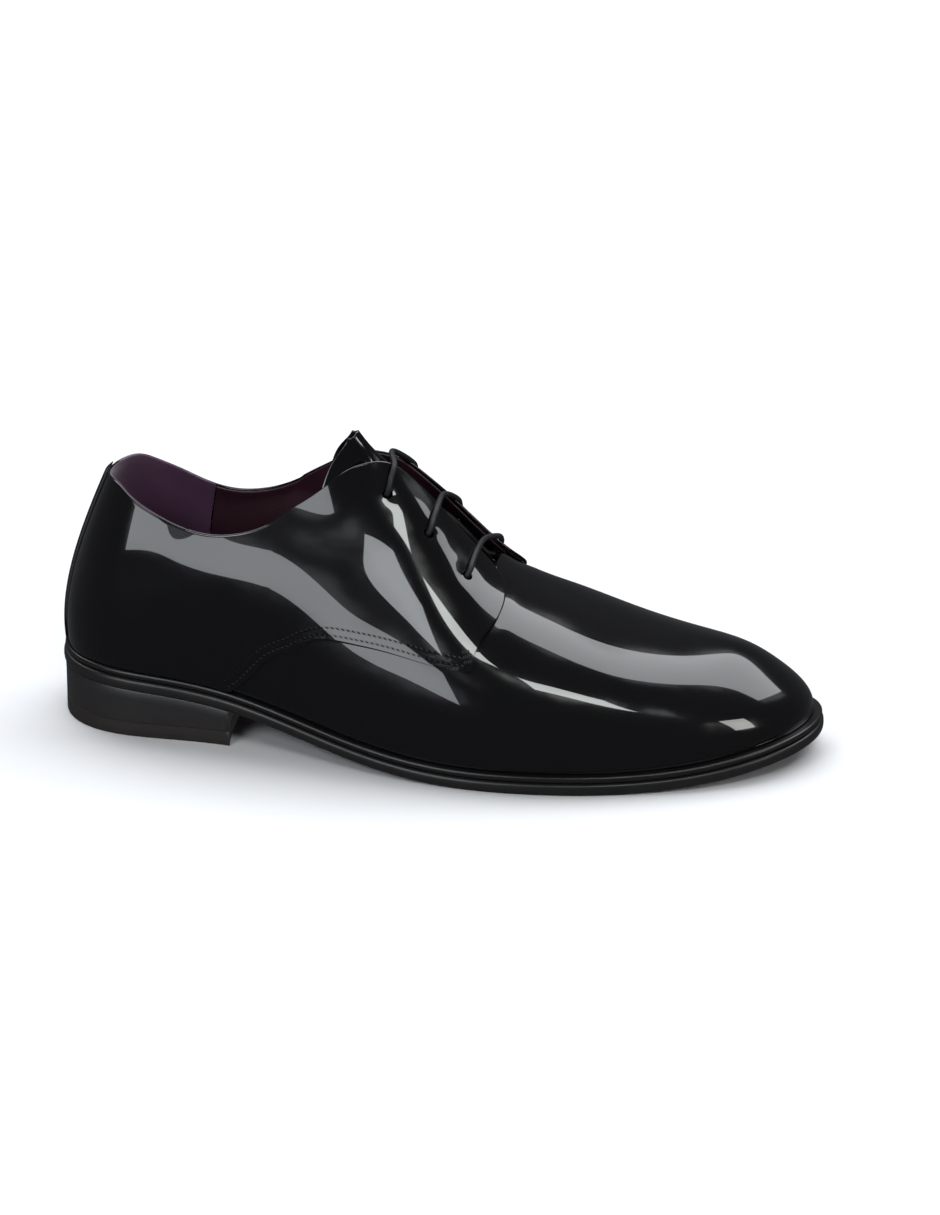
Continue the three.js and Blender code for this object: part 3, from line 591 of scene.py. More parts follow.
edge_black = burnished_edge("sole_edge", (0.008, 0.0075, 0.0078, 1), (0.015, 0.014, 0.0145, 1), 0.3)
welt_black = burnished_edge("welt_leather", (0.006, 0.0055, 0.006, 1), (0.011, 0.0105, 0.011, 1), 0.24)
heel_black = burnished_edge(
    "heel_leather", (0.013, 0.0125, 0.014, 1), (0.021, 0.02, 0.022, 1), 0.34,
    brown=(0.026, 0.019, 0.016, 1), brown_top=0.014,
)
rubber = burnished_edge("top_piece_rubber", (0.016, 0.013, 0.012, 1), (0.026, 0.02, 0.018, 1), 0.5)
sole_purple = lining_calf("sole_tread", (0.03, 0.012, 0.028, 1), (0.05, 0.02, 0.045, 1), roughness=0.4)
steel = plain_metal("nail_steel", (0.56, 0.57, 0.58, 1), 0.3)
eyelet_metal = plain_metal("eyelet_metal", (0.035, 0.035, 0.038, 1), 0.35)


def cork_finish():
    finish = Finish("cork")
    grain = finish.node("TexVoronoi", Vector=finish.place(), Scale=420.0, output="Color")
    speck = finish.noise(500.0, detail=3.0)
    colour = finish.blend_colours(speck, (0.2, 0.11, 0.055, 1), (0.42, 0.27, 0.15, 1))
    return finish.paint(Base_Color=colour, Roughness=0.9, Normal=finish.bump(grain, 0.0003, 0.6))


cork = cork_finish()

# %% [markdown]
# ### Waxed cord and thread
# The lace is a tight round braid soaked in wax. Its pattern must follow the cord round every bend,
# so it reads a UV map laid along the tube: two families of slanted lines make the crossing strands.


# %% Cord finishes
def waxed_cord():
    finish = Finish("waxed_cord", Specular_IOR_Level=0.4)
    place = finish.node("UVMap", {"uv_map": "along"})
    around = finish.node("SeparateXYZ", Vector=place, output="X")
    along = finish.node("SeparateXYZ", Vector=place, output="Y")

    def strands(slant):
        return ((around * 4.0 + along * slant) * 2 * math.pi).sine()

    braid = (strands(620.0) * strands(-620.0)) * 0.5 + 0.5
    wax = finish.noise(260.0, detail=3.0)
    # The colour follows the strand relief: the dips between strands are darkened, which is painted shade, and
    # the wax noise adds random tone.
    share = braid * 0.7 + wax * 0.3
    colour = finish.blend_colours(share, (0.005, 0.005, 0.0065, 1), (0.02, 0.02, 0.024, 1))
    normal = finish.bump(braid, 0.00014, 0.8)
    return finish.paint(Base_Color=colour, Roughness=0.4 + wax * 0.25, Normal=normal)


cord_finish = waxed_cord()


def thread_finish():
    finish = Finish("seam_thread", Specular_IOR_Level=0.4)
    ply = finish.noise(1.0, detail=1.0, where=finish.stretched((3000, 900, 3000)))
    # The colour follows the ply relief: its dips are darkened, which is painted shade.
    colour = finish.blend_colours(ply, (0.004, 0.004, 0.005, 1), (0.016, 0.016, 0.018, 1))
    return finish.paint(Base_Color=colour, Roughness=0.5, Normal=finish.bump(ply, 0.00008, 0.7))


thread = thread_finish()

# %% [markdown]
# ## Pattern lines
# The cutter's patterns are lines on the last: the top line round the ankle, the curved seam where
# the quarters overlap the vamp, and the outline of the eyelet facings.

# %% Lines of the upper
QUARTER_TOP, QUARTER_THICK = 1.7, 1.2
SEAM_START = -76  # the station where the quarter's edge leaves the sole
top_line = batten([
    (-150, 0.446), (-141, 0.436), (-132, 0.408), (-116, 0.36), (-100, 0.32), (-88, 0.305),
    (-76, 0.312), (-64, 0.35), (-56, 0.403), (-48, 0.478), (-40, 0.563),
])
seam_line = batten([
    (-76, 0), (-71, 0.019), (-60, 0.074), (-50, 0.112), (-43, 0.147),
    (-31.5, 0.196), (-13, 0.258), (6, 0.304), (21.5, 0.36),
])
facing_outline = [
    (-60, 0.374), (-48, 0.478), (-40, 0.563), (-33, 0.65), (-26, 0.735), (-20.5, 0.8), (-15, 0.846),
    (-8, 0.866), (2, 0.87), (12, 0.87), (19.5, 0.868), (25.5, 0.838), (29, 0.76), (29.6, 0.68),
    (28.6, 0.61), (25, 0.51), (22.3, 0.42), (21.5, 0.36),
]
vamp_back = batten([
    (0, -88), (0.1, -68), (0.19, -50), (0.26, -32), (0.33, -12), (0.4, 7),
    (0.5, 17.5), (0.6, 24), (0.7, 25.5), (0.85, 26), (1, 26),
])
lining_foot = batten([(-98, 0), (-78, 0.1), (-60, 0.19), (-42, 0.26), (-24, 0.32), (-8, 0.36)])
lining_outline = facing_outline[:10] + [
    (19.5, 0.862), (22.6, 0.83), (23, 0.76), (23, 0.68),
    (21.6, 0.6), (15.6, 0.5), (5.5, 0.405), (-6, 0.375),
]
tongue_top = batten([(0.45, -46), (0.6, -40.5), (0.7, -34), (0.8, -31), (0.9, -29.9), (1, -29.5)])
EYELETS = [(-17, 0.72), (-0.5, 0.712), (15, 0.69)]
INNER_FORWARD, INNER_NARROW = 4, 0.09
BEND_BACK, BEND_MIDDLE, BEND_FRONT, GRIP_END = -60, -18.0, 21.5, -98


def on_side(side, s):
    """The inner facing is cut a little lower than the outer one."""
    return s if side == OUTER else s * (1 - INNER_NARROW * soft_step(s, 0.45, 0.4))


def quarter_foot(x):
    return np.where(x < SEAM_START, 0, np.maximum(0, seam_line(np.maximum(x, SEAM_START))))


def bend_plane(side):
    """The plane along which the leather bends when the facing lifts."""
    front = over_last(side, BEND_FRONT, 0.36, QUARTER_TOP)
    back = over_last(side, BEND_BACK, top_line(BEND_BACK), QUARTER_TOP)
    facing = outward(side, BEND_MIDDLE, 0.4)
    return front, unit(np.cross(unit(back - front), facing) * -side)


def bend_height(side, x, height):
    """Where the bending plane cuts the leather at each station, found by halving."""
    front, normal = bend_plane(side)
    low, high = np.full(np.shape(x), 0.2), np.full(np.shape(x), 0.62)
    for _ in range(22):
        middle = (low + high) / 2
        above = (over_last(side, x, middle, height) - front) @ normal > 0
        low, high = np.where(above, low, middle), np.where(above, middle, high)
    return (low + high) / 2


print("the leather bends from station", BEND_BACK, "to", BEND_FRONT)

# %% [markdown]
# ## The quarters
# On the real shoe each quarter and its eyelet facing are one piece of patent leather that bends
# along a line from the bar tack to the top line. One skin per side is made from three grids that
# share their borders: the heel part, the part under the bend line, and the flap above it.


# %% Grids of one side of the upper
def side_grids(side, heel_from, front_to, foot, outline, height, deep, columns=(36, 44)):
    """Grids for the wall of one side, then for the flap over its bend line."""
    back_x = station_of(np.linspace(run_of(heel_from), run_of(BEND_BACK), 70))
    bend_x = station_of(np.linspace(run_of(BEND_BACK), run_of(front_to), 90))
    low, wall = columns
    share = np.linspace(0, 1, low + 1)

    def rise(x, top):
        s = mix(foot(x)[:, None], top[:, None], share)
        x = np.broadcast_to(x[:, None], s.shape)
        return over_last(side, x, s, height(x, s))

    bend_s = bend_height(side, bend_x, deep)
    bend_s[0] = top_line(BEND_BACK)
    behind = rise(back_x, top_line(back_x))
    under = rise(bend_x, bend_s)
    hx, hs = pattern_curve(outline)(np.linspace(0, 1, len(bend_x)))
    hs = on_side(side, hs)
    share = np.linspace(0, 1, wall + 1)
    fx = mix(bend_x[:, None], hx[:, None], share)
    fs = mix(bend_s[:, None], hs[:, None], share)
    above = over_last(side, fx, fs, height(fx, fs))
    above[:, 0] = under[:, -1]
    under[0] = behind[-1]
    return [behind, under, above]


def eyelet_place(side, spot):
    x = spot[0] + (INNER_FORWARD if side == INNER else 0)
    s = on_side(side, spot[1])
    return over_last(side, x, s, 0.0), outward(side, float(x), s)


print("first eyelet, mm:", eyelet_place(OUTER, EYELETS[0])[0].round(1))


# %% Punch the eyelet holes
HOLE, DIMPLE, DIMPLE_REACH = 2.1, 0.42, 3.3  # hole radius, sink of the leather round it, its reach, mm
RIM, PUNCH = 36, 5  # corners round a hole, and half the punch's length, mm


def dimpled(points, side):
    """Leather sinks a little round each eyelet."""
    for spot in EYELETS:
        origin, axis = eyelet_place(side, spot)
        off = points - origin
        away = np.linalg.norm(off - (off @ axis)[..., None] * axis, axis=-1)
        sink = DIMPLE * np.exp(-((away / DIMPLE_REACH) ** 2)) * (np.abs(off @ axis) < 9)
        points = points - sink[..., None] * axis
    return points


def mend_rims(shell):
    """Cuts the many-sided faces round the holes into triangles, and drops any that lie back to back."""
    bmesh.ops.remove_doubles(shell, verts=shell.verts, dist=0.002 * MM)
    bmesh.ops.triangulate(shell, faces=[f for f in shell.faces if len(f.verts) > 4])
    same = {}
    for face in shell.faces:
        same.setdefault(frozenset(v.index for v in face.verts), []).append(face)
    doubled = [face for group in same.values() if len(group) > 1 for face in group]
    bmesh.ops.delete(shell, geom=doubled, context="FACES_ONLY")
    print("rims mended,", len(doubled), "doubled faces dropped")


def punch_holes(obj, side, radius):
    """Cuts the three eyelet holes of one side through a sheet."""
    rings, faces = [], []
    turn = np.linspace(0, 2 * np.pi, RIM, endpoint=False)
    for spot in EYELETS:
        origin, axis = eyelet_place(side, spot)
        right = unit(np.cross(axis, (0, 0, 1)))
        up = np.cross(axis, right)
        circle = radius * (np.cos(turn)[:, None] * right + np.sin(turn)[:, None] * up)
        low = len(rings) * RIM + np.arange(RIM)
        high = low + RIM
        rings += [origin - PUNCH * axis + circle, origin + PUNCH * axis + circle]
        faces += [low[::-1].tolist(), high.tolist()]
        faces += np.stack([low, np.roll(low, -1), np.roll(high, -1), high], 1).tolist()
    punch = make_object("punch", np.concatenate(rings), faces)
    cut = obj.modifiers.new("punch", "BOOLEAN")
    cut.operation, cut.solver, cut.object = "DIFFERENCE", "EXACT", punch
    made = bpy.data.meshes.new_from_object(obj.evaluated_get(bpy.context.evaluated_depsgraph_get()))
    obj.modifiers.clear()
    edit_mesh(made, mend_rims)
    obj.data = made
    made.set_sharp_from_angle(angle=math.radians(42))
    bpy.data.objects.remove(punch)


# %% Sew the two quarters
def bend_blend(obj, side):
    """Bakes the object's placement into its mesh; the bend plane is found but not used."""
    front, normal = bend_plane(side)
    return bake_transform(obj)


SIDES = ((OUTER, "lateral"), (INNER, "medial"))
FAR_FROM_SEAM = 99.0  # a mark for leather that no row of stitches comes near


def quarter_face(x, s):
    return np.full(np.shape(s), QUARTER_TOP)


for side, word in SIDES:
    grids = side_grids(side, -149.99, BEND_FRONT, quarter_foot, facing_outline, quarter_face, QUARTER_TOP)
    runs = [height_run(g) for g in grids]
    seam_run = [np.where(g[:, :1, 0] < SEAM_START, FAR_FROM_SEAM, r) for g, r in zip(grids, runs)]
    seam_run[2] = seam_run[1][:, -1:] + runs[2]
    turned = side == INNER
    quarter = leather_sheet(
        word + "_upper", [(dimpled(g, side), turned) for g in grids], QUARTER_THICK, patent_seamed,
        marks={"seam_run": seam_run},
    )
    punch_holes(quarter, side, HOLE)
    bend_blend(quarter, side)
    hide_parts(word + "_quarter", word + "_facing")

# %% [markdown]
# ## The vamp
# The vamp is one sheet drawn over the toe. Its rows run from the quarters to the toe and its columns
# from one edge of the sole over the ridge to the other, so both halves meet in a closed toe.


# %% Draw the vamp over the toe
def across_ridge(back_at, front_at, rows, cols, height):
    """A grid over the ridge, from the outer edge of the sole to the inner one."""
    across = np.linspace(-1, 1, cols + 1)
    s = 1 - np.abs(across)
    side = np.where(across < 0, OUTER, INNER)
    u = mix(run_of(back_at(s)), run_of(front_at(s)), np.linspace(0, 1, rows + 1)[:, None])
    x = station_of(u)
    s, side = np.broadcast_to(s, x.shape), np.broadcast_to(side, x.shape)
    return over_last(side, x, s, height(x, s))


VAMP_THICK = 1.2
PARING, PARED_TO, PARED_OVER = 0.5, 9, 6  # how deep, how far under the quarter, over what slope, mm
THROAT, THROAT_FROM, THROAT_OVER = 2.6, 0.78, 0.14  # reach over the lining in mm, and where it grows


def pared(x, s):
    """The edge under the quarters is pared thinner."""
    return -PARING * soft_step(vamp_back(s) + PARED_TO, x, PARED_OVER)


def throat(s):
    """The vamp's back edge, cut to cover the lining's edge where the tongue starts."""
    return vamp_back(s) - THROAT * soft_step(s, THROAT_FROM, THROAT_OVER)


vamp_grid = across_ridge(throat, lambda s: HALF + 0 * s, 150, 150, pared)
vamp = leather_sheet("vamp_upper", [(vamp_grid, False)], VAMP_THICK, patent)
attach(vamp, "shoe")
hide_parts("vamp")

# %% [markdown]
# ## Back stay, linings and tongue
# The back stay covers the seam at the heel. Inside, the suede grip wraps the heel and the calf
# lining carries on to the facings. The tongue rolls over the instep, and its free
# end is folded narrower.


# %% Cover the back seam
STAY_REACH, STAY_THICK, STAY_FACE = -149.1, 0.5, 2.35  # its front station, thickness and height, mm
STAY_STOP = 0.003  # how far its end stays under the top line, as a height fraction


def round_heel(reach, low_at, high_at, rows, cols, height):
    """A grid round the back of the heel, from one side of the shoe to the other."""
    w = np.linspace(-1, 1, rows + 1) * run_of(reach)
    side, x = np.where(w < 0, OUTER, INNER), station_of(np.abs(w))
    s = mix(low_at(x)[:, None], high_at(x)[:, None], np.linspace(0, 1, cols + 1))
    x, side = np.broadcast_to(x[:, None], s.shape), np.broadcast_to(side[:, None], s.shape)
    return over_last(side, x, s, height(x, s))


stay_grid = round_heel(
    STAY_REACH, lambda x: 0 * x, lambda x: top_line(x) - STAY_STOP, 16, 80, lambda x, s: STAY_FACE + 0 * s,
)
stay = leather_sheet("back_stay", [(stay_grid, False)], STAY_THICK, patent)
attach(stay, "shoe")
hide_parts("backstay")


# %% Line the heel and the quarters
LOW_LINING, FACING_LINING = -3.5, -0.2  # heights of the lining's face over the last, mm
LINING_THICK = 0.8
LINING_HOLE = HOLE + 0.7


def lining_top(x, s):
    """The lining lies deep inside and comes out to the top line near its rim."""
    rim = top_line(np.minimum(x, BEND_BACK))
    return LOW_LINING * (1 - soft_step(s / rim, 0.62, 0.34))


def side_lining_top(x, s):
    return np.where(s > 0.45, FACING_LINING, np.minimum(lining_top(x, s), FACING_LINING))


grip_grid = round_heel(GRIP_END - 0.4, lambda x: 0 * x, top_line, 90, 40, lining_top)
grip = leather_sheet("heel_grip", [(grip_grid, False)], LINING_THICK, grip_suede)
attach(grip, "shoe")
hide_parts("heel_grip_lining")

for side, word in SIDES:
    grids = side_grids(
        side, GRIP_END + 0.3, -8.0, lining_foot, lining_outline, side_lining_top, FACING_LINING,
        columns=(24, 36),
    )
    grids = [(dimpled(g, side), side == INNER) for g in grids]
    sheet = leather_sheet(word + "_lining", grids, LINING_THICK, lining)
    punch_holes(sheet, side, LINING_HOLE)
    bend_blend(sheet, side)
    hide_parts(word + "_quarter_lining", word + "_facing_lining")


# %% Roll the tongue
TONGUE_TOP, TONGUE_FOOT, CROWN, CROWN_FULLNESS = -5.4, 34, 0.72, 1.5
TONGUE_THICK, TONGUE_LINING_THICK, TONGUE_STEP = 0.8, 0.6, 1.1  # the step is from face to lining, mm
FOLD, FOLD_Y = 0.62, 4.2  # how much narrower the folded end is, and the line that it folds to, mm
TONGUE_GRID = 91
RIB = 95  # millimetres from the sole's edge to the ridge, near the eyelets


def tongue_points(side, x, s, height):
    """On the last near the vamp, then one arc from side to side, and a fold at the free end."""
    on_last = over_last(side, x, s, height)
    rolled = 1 - soft_step(x, -16, 18)
    feet = [over_last(wall, x, CROWN, height) for wall in (OUTER, INNER)]
    width = np.linalg.norm(feet[0] - feet[1], axis=-1, keepdims=True)
    climbs = []
    for wall, foot in zip((OUTER, INNER), feet):
        upward = foot - over_last(wall, x, CROWN - 0.04, height)
        climbs.append(CROWN_FULLNESS * width * unit(upward))
    share = np.clip((s - CROWN) / (1 - CROWN), 0, 1) / 2
    t = np.where(side == OUTER, share, 1 - share)[..., None]
    arc = feet[0] * (1 + 2 * t) * (1 - t) ** 2 + climbs[0] * t * (1 - t) ** 2
    arc = arc + feet[1] * t * t * (3 - 2 * t) + climbs[1] * t * t * (1 - t)
    use = np.where(s > CROWN, rolled, 0)[..., None]
    point = on_last * (1 - use) + arc * use
    folded = 1 - FOLD * soft_step(s, 0.45, 0.3) * soft_step(-x, 12, 16)
    point[..., 1] = FOLD_Y + (point[..., 1] - FOLD_Y) * folded
    return point


def tongue_grid(top, shrink):
    lift = -LINING_THICK + LOW_LINING - CLEAR - TONGUE_TOP
    i = np.linspace(0, 1, TONGUE_GRID)[:, None]
    across = np.linspace(-1, 1, TONGUE_GRID)[None, :]
    side = np.broadcast_to(np.where(across < 0, OUTER, INNER), (TONGUE_GRID, TONGUE_GRID))
    s = mix(1.0, mix(0.5, 0.64, i) + shrink / RIB, np.abs(across))
    x = mix(tongue_top(s) + shrink, TONGUE_FOOT, i)
    return tongue_points(side, x, s, top + lift * soft_step(i, 0.82, 0.18) + 0 * s)


tongue = leather_sheet("tongue_upper", [(tongue_grid(TONGUE_TOP, 0), False)], TONGUE_THICK, patent)
tongue_back = leather_sheet(
    "tongue_back", [(tongue_grid(TONGUE_TOP - TONGUE_STEP, 2), False)], TONGUE_LINING_THICK, lining,
)
for piece, node, name in (
    (tongue, "tongue", "patent_leather"), (tongue_back, "tongue_lining", "lining_leather"),
):
    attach(piece, "tongue")
    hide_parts(node)

# %% [markdown]
# ## Sole, welt and heel
# A layer of the bottom has the shoe's outline in plan and a small rounded edge. Each is made as a
# stack of rings round the outline, drawn in or out a little at each level, and closed by two faces.

# %% Rings round an outline
ROUND = 400
lap = np.linspace(0, 2, ROUND, endpoint=False)
lap_side = np.where(lap < 1, OUTER, INNER)
lap_u = np.where(lap < 1, lap, 2 - lap)


def outline_ring(inset, height):
    x, y = inset_edge(lap_side, lap_u, inset)
    return np.stack([x, y, bottom(x) + height], 1)


def ring_wall(rings, closed=False):
    """Faces between neighbouring rings, outward for rings that rise and run toe-wards first."""
    count, faces = len(rings[0]), []
    pairs = [(k, k + 1) for k in range(len(rings) - 1)]
    for low, high in pairs + ([(len(rings) - 1, 0)] if closed else []):
        a = low * count + np.arange(count)
        b = high * count + np.arange(count)
        faces += np.stack([a, np.roll(a, -1), np.roll(b, -1), b], 1).tolist()
    return faces


def lap_cap(start, upward):
    """A face across a sole ring, in strips from the outer side to the inner one."""
    half, faces = ROUND // 2, []
    at = start + np.arange(ROUND)
    for k in range(half):
        strip = [at[k], at[k + 1], at[(ROUND - k - 1) % ROUND], at[(ROUND - k) % ROUND]]
        strip = list(dict.fromkeys(int(v) for v in strip))
        if len(strip) > 2:
            faces.append(strip if upward else strip[::-1])
    return faces


def facing_out(obj):
    """Turns every face of a closed shape outwards."""
    edit_mesh(obj.data, lambda shell: bmesh.ops.recalc_face_normals(shell, faces=shell.faces))
    obj.data.set_sharp_from_angle(angle=math.radians(50))
    return obj


def sole_layer(name, profile, material):
    rings = [outline_ring(inset, height) for inset, height in profile]
    faces = ring_wall(rings) + lap_cap(0, False) + lap_cap((len(rings) - 1) * ROUND, True)
    return facing_out(make_object(name, np.concatenate(rings), faces, material))


# %% Outsole and welt
LOW = OUTSOLE + CLEAR
outsole = sole_layer("outsole_edge", [
    (1.1, 0.0), (0.5, 0.08), (0.15, 0.35), (0.0, 0.8), (-0.08, 1.6), (-0.1, 2.3), (-0.05, 3.1),
    (0.05, 3.7), (0.25, 4.1), (0.6, 4.35), (1.2, OUTSOLE),
], edge_black)
outsole.data.materials.append(sole_purple)
for polygon in outsole.data.polygons:
    if polygon.normal.z < -0.9 and polygon.area > 2e-6:
        polygon.material_index = 1

welt_profile = [
    (WELT_WIDTH, LOW), (1.4, LOW), (0.85, LOW + 0.25), (0.62, LOW + 0.7), (0.55, LOW + 1.3),
    (0.62, LOW + 1.9), (0.85, LOW + 2.3), (1.3, LOW + WELT), (2.1, LOW + WELT - 0.25),
    (2.9, LOW + WELT - 0.05), (4.0, LOW + WELT), (WELT_WIDTH, LOW + WELT),
]
rings = [outline_ring(inset, height) for inset, height in welt_profile]
welt = facing_out(make_object("welt_edge", np.concatenate(rings), ring_wall(rings, closed=True), welt_black))
for piece, node, name in ((outsole, "outsole", "sole_edge"), (welt, "welt", "welt_leather")):
    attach(piece, "shoe")
    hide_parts(node)
    print(piece.name, len(piece.data.polygons), "faces")

# %% Stack the heel
BREAST, BREAST_BOW = -76, 3
TOP_PIECE = 6


def heel_outline(count=170):
    """The back of the sole's outline in plan, closed by the bowed breast."""
    u = run_of(BREAST) * np.linspace(1, 0, count)
    ox, oy = inset_edge(OUTER, u, 0.5)
    ix, iy = inset_edge(INNER, u[::-1][1:], 0.5)
    t = np.linspace(0, 1, 40)[1:-1]
    bow = BREAST_BOW * (1 - (2 * t - 1) ** 2)
    bx, by = mix(ix[-1], ox[0], t) - bow, mix(iy[-1], oy[0], t)
    return np.column_stack([np.concatenate([ox, ix, bx]), np.concatenate([oy, iy, by])])


heel_plan = heel_outline()
ahead, behind = np.roll(heel_plan, -1, 0), np.roll(heel_plan, 1, 0)
tangent = unit(ahead - behind)
heel_out = np.column_stack([-tangent[:, 1], tangent[:, 0]])
centre = heel_plan.mean(0)
if ((heel_plan - centre) * heel_out).sum() < 0:
    heel_out = -heel_out


def heel_layer(name, profile, material):
    """profile holds (inset, level): level gives the heights from those of the seat under the outsole."""
    rings = []
    for inset, level in profile:
        plan = heel_plan - heel_out * inset
        under = bottom(np.minimum(plan[:, 0], BREAST)) - CLEAR
        rings.append(np.column_stack([plan, level(under)]))
    points = np.concatenate(rings)
    faces = ring_wall(rings)
    count = len(heel_plan)
    for start, ring in ((0, rings[0]), ((len(rings) - 1) * count, rings[-1])):
        hub = len(points)
        points = np.vstack([points, ring.mean(0)])
        faces += [[start + k, start + (k + 1) % count, hub] for k in range(count)]
    obj = facing_out(make_object(name, points, faces, material))
    print(name, len(obj.data.polygons), "faces")
    return obj


def at_level(z):
    return lambda under: np.full_like(under, z)


def below_seat(drop):
    return lambda under: under - drop


layers = [
    ("heel_top", ("heel_top_piece",), "top_piece_rubber", rubber, [
        (0.5, at_level(0)), (0.12, at_level(0.12)), (0, at_level(0.5)), (-0.02, at_level(3)),
        (0, at_level(TOP_PIECE - 0.12)), (0.15, at_level(TOP_PIECE)),
    ]),
    ("heel_stack", ("heel_block", "heel_lift"), "heel_leather", heel_black, [
        (0.2, at_level(TOP_PIECE + 0.04)), (0.03, at_level(TOP_PIECE + 0.15)), (0.1, below_seat(4)),
        (0.0, below_seat(0.3)), (0.2, below_seat(-0.05)),
    ]),
]
for name, nodes, slot_name, material, profile in layers:
    layer = heel_layer(name, profile, material)
    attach(layer, "shoe")
    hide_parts(*nodes)

# %% [markdown]
# ## The lace
# One waxed cord runs from a tuck inside, across three bars and through six eyelets, to a second
# tuck. Its route is the imported model's, with the bars a little lower, in millimetres. The lace is held
# all the way, so it is one tube cut at the middle of each bar.

# %% Route of the lace
LACE = 2.2
LACE_RUN, LACE_BAR = -4.0, 3.1  # heights over the last of the runs inside and of the bars, mm
ridge_drop = batten([(-50, 9), (-28, 9), (-16, 7), (0, 2.5), (15, 1.5), (30, 0)])


def spot_of(side, index):
    x, s = EYELETS[index]
    return x + (INNER_FORWARD if side == INNER else 0), float(on_side(side, s))


def through(side, index, dx, dy):
    """Up through an eyelet, from an inside run along (dx, dy) to the bar."""
    x, s = spot_of(side, index)
    inside = [(5, LACE_RUN), (1.7, LACE_RUN + 0.1), (0.1, -1.8), (0, 0), (0, 1)]
    outside = [(1.8, LACE_BAR - 0.2), (5, LACE_BAR)]
    route = [over_last(side, x + d * dx, s + d * dy / RIB, h) for d, h in inside]
    return route + [over_last(side, x, s + d / RIB, h) for d, h in outside]


def bar(index):
    (ox, _), (ix, _) = spot_of(OUTER, index), spot_of(INNER, index)
    middle = (ox + ix) / 2
    return [
        over_last(OUTER, ox + 0.3, 0.82, LACE_BAR - 0.2),
        over_last(OUTER, middle, 0.99, LACE_BAR - 1 - ridge_drop(middle)),
        over_last(INNER, ix - 0.3, 0.755, LACE_BAR - 0.2),
    ]


past_x, past_s = spot_of(INNER, 1)
tucked_inner = [(-22, 0.5), (-13, 0.5), (-4, 0.53), (1, 0.585)]
tucked_outer = [(-18, 0.64), (-18.5, 0.58), (-14.5, 0.53), (-8, 0.508), (-2, 0.5)]
route = [over_last(INNER, x, s, LACE_RUN) for x, s in tucked_inner]
route += through(INNER, 1, 0, -1) + bar(1)[::-1] + through(OUTER, 1, 1, 0)[::-1]
route += through(OUTER, 2, -1, 0) + bar(2) + through(INNER, 2, -1, 0.4)[::-1]
route += [over_last(INNER, past_x, past_s + 5 / RIB, LACE_RUN)]
route += through(INNER, 0, 1, 0.2) + bar(0)[::-1] + through(OUTER, 0, 0, -1)[::-1]
route += [over_last(OUTER, x, s, LACE_RUN) for x, s in tucked_outer]
route = np.array(route, float)


def fair_path(points, step=0.35):
    """A centripetal Catmull-Rom path through the points, in even steps."""
    ends = np.vstack([2 * points[0] - points[1], points, 2 * points[-1] - points[-2]])
    t = np.linspace(0, 1, 24, endpoint=False)[:, None]
    path = []
    for a, b, c, d in zip(ends, ends[1:], ends[2:], ends[3:]):
        g0, g1, g2 = (max(np.linalg.norm(q - p), 1e-4) ** 0.5 for p, q in ((a, b), (b, c), (c, d)))
        m1 = ((b - a) / g0 - (c - a) / (g0 + g1) + (c - b) / g1) * g1
        m2 = ((c - b) / g1 - (d - b) / (g1 + g2) + (d - c) / g2) * g1
        path.append((2 * t**3 - 3 * t**2 + 1) * b + (t**3 - 2 * t**2 + t) * m1
                    + (3 * t**2 - 2 * t**3) * c + (t**3 - t**2) * m2)
    path = np.vstack(path + [points[-1:]])
    run = np.concatenate([[0], np.cumsum(np.linalg.norm(np.diff(path, axis=0), axis=1))])
    even = np.linspace(0, run[-1], int(run[-1] / step) + 1)
    return np.column_stack([np.interp(even, run, path[:, k]) for k in range(3)]), even


lace_path, lace_at = fair_path(route)
print("the lace is", round(lace_at[-1]), "mm long")


# %% Sweep a cord along a path
def drop_loose(shell):
    """Drops the points that no face uses, and turns the faces outwards."""
    bmesh.ops.delete(shell, geom=[v for v in shell.verts if not v.link_faces], context="VERTS")
    bmesh.ops.recalc_face_normals(shell, faces=shell.faces)


def cord_tube(name, path, at, radius, material, round_ends=(True, True), sides=14):
    """A closed tube whose rings don't twist, with a UV map of turns round it and metres along it."""
    tangent = unit(np.gradient(path, axis=0))
    across = np.cross(tangent[0], (0.3, 0.2, 1.0))
    frames = []
    for t in tangent:
        across = unit(across - (across @ t) * t)
        frames.append(across)
    frames = np.array(frames)
    other = np.cross(tangent, frames)
    turn = np.linspace(0, 2 * np.pi, sides + 1)
    radii = np.full(len(path), radius)
    reach = radius * 0.9
    for end, ring_at in zip(round_ends, (at - at[0], at[-1] - at)):
        if end:
            radii = radii * np.sqrt(np.clip(1 - np.clip(1 - ring_at / reach, 0, 1) ** 2, 0.02, 1))
    circle = np.cos(turn)[:, None, None] * frames + np.sin(turn)[:, None, None] * other
    points = (path + circle * radii[:, None]).transpose(1, 0, 2)
    count = sides + 1
    rows = np.arange(len(path) - 1)[:, None] * count + np.arange(sides)
    faces = np.stack([rows, rows + 1, rows + 1 + count, rows + count], -1).reshape(-1, 4)
    index = np.arange(points.shape[0] * count).reshape(-1, count)
    index[:, -1] = index[:, 0]
    faces_welded = index.ravel()[faces]
    caps = [index[0, :-1][::-1].tolist(), index[-1, :-1].tolist()]
    obj = make_object(name, points.reshape(-1, 3), faces_welded.tolist() + caps, material)
    layer = obj.data.uv_layers.new(name="along")
    uv = np.stack(np.broadcast_arrays(turn / (2 * np.pi), (at * MM)[:, None]), -1).reshape(-1, 2)
    corner_uv = np.concatenate([uv[faces.ravel()], np.zeros((2 * sides, 2))])
    if len(corner_uv) == len(obj.data.loops):
        layer.data.foreach_set("uv", corner_uv.astype(np.float32).ravel())
    edit_mesh(obj.data, drop_loose)
    print(name, len(obj.data.polygons), "faces")
    return obj


def nearest(point):
    return int(np.argmin(np.linalg.norm(lace_path - point, axis=1)))


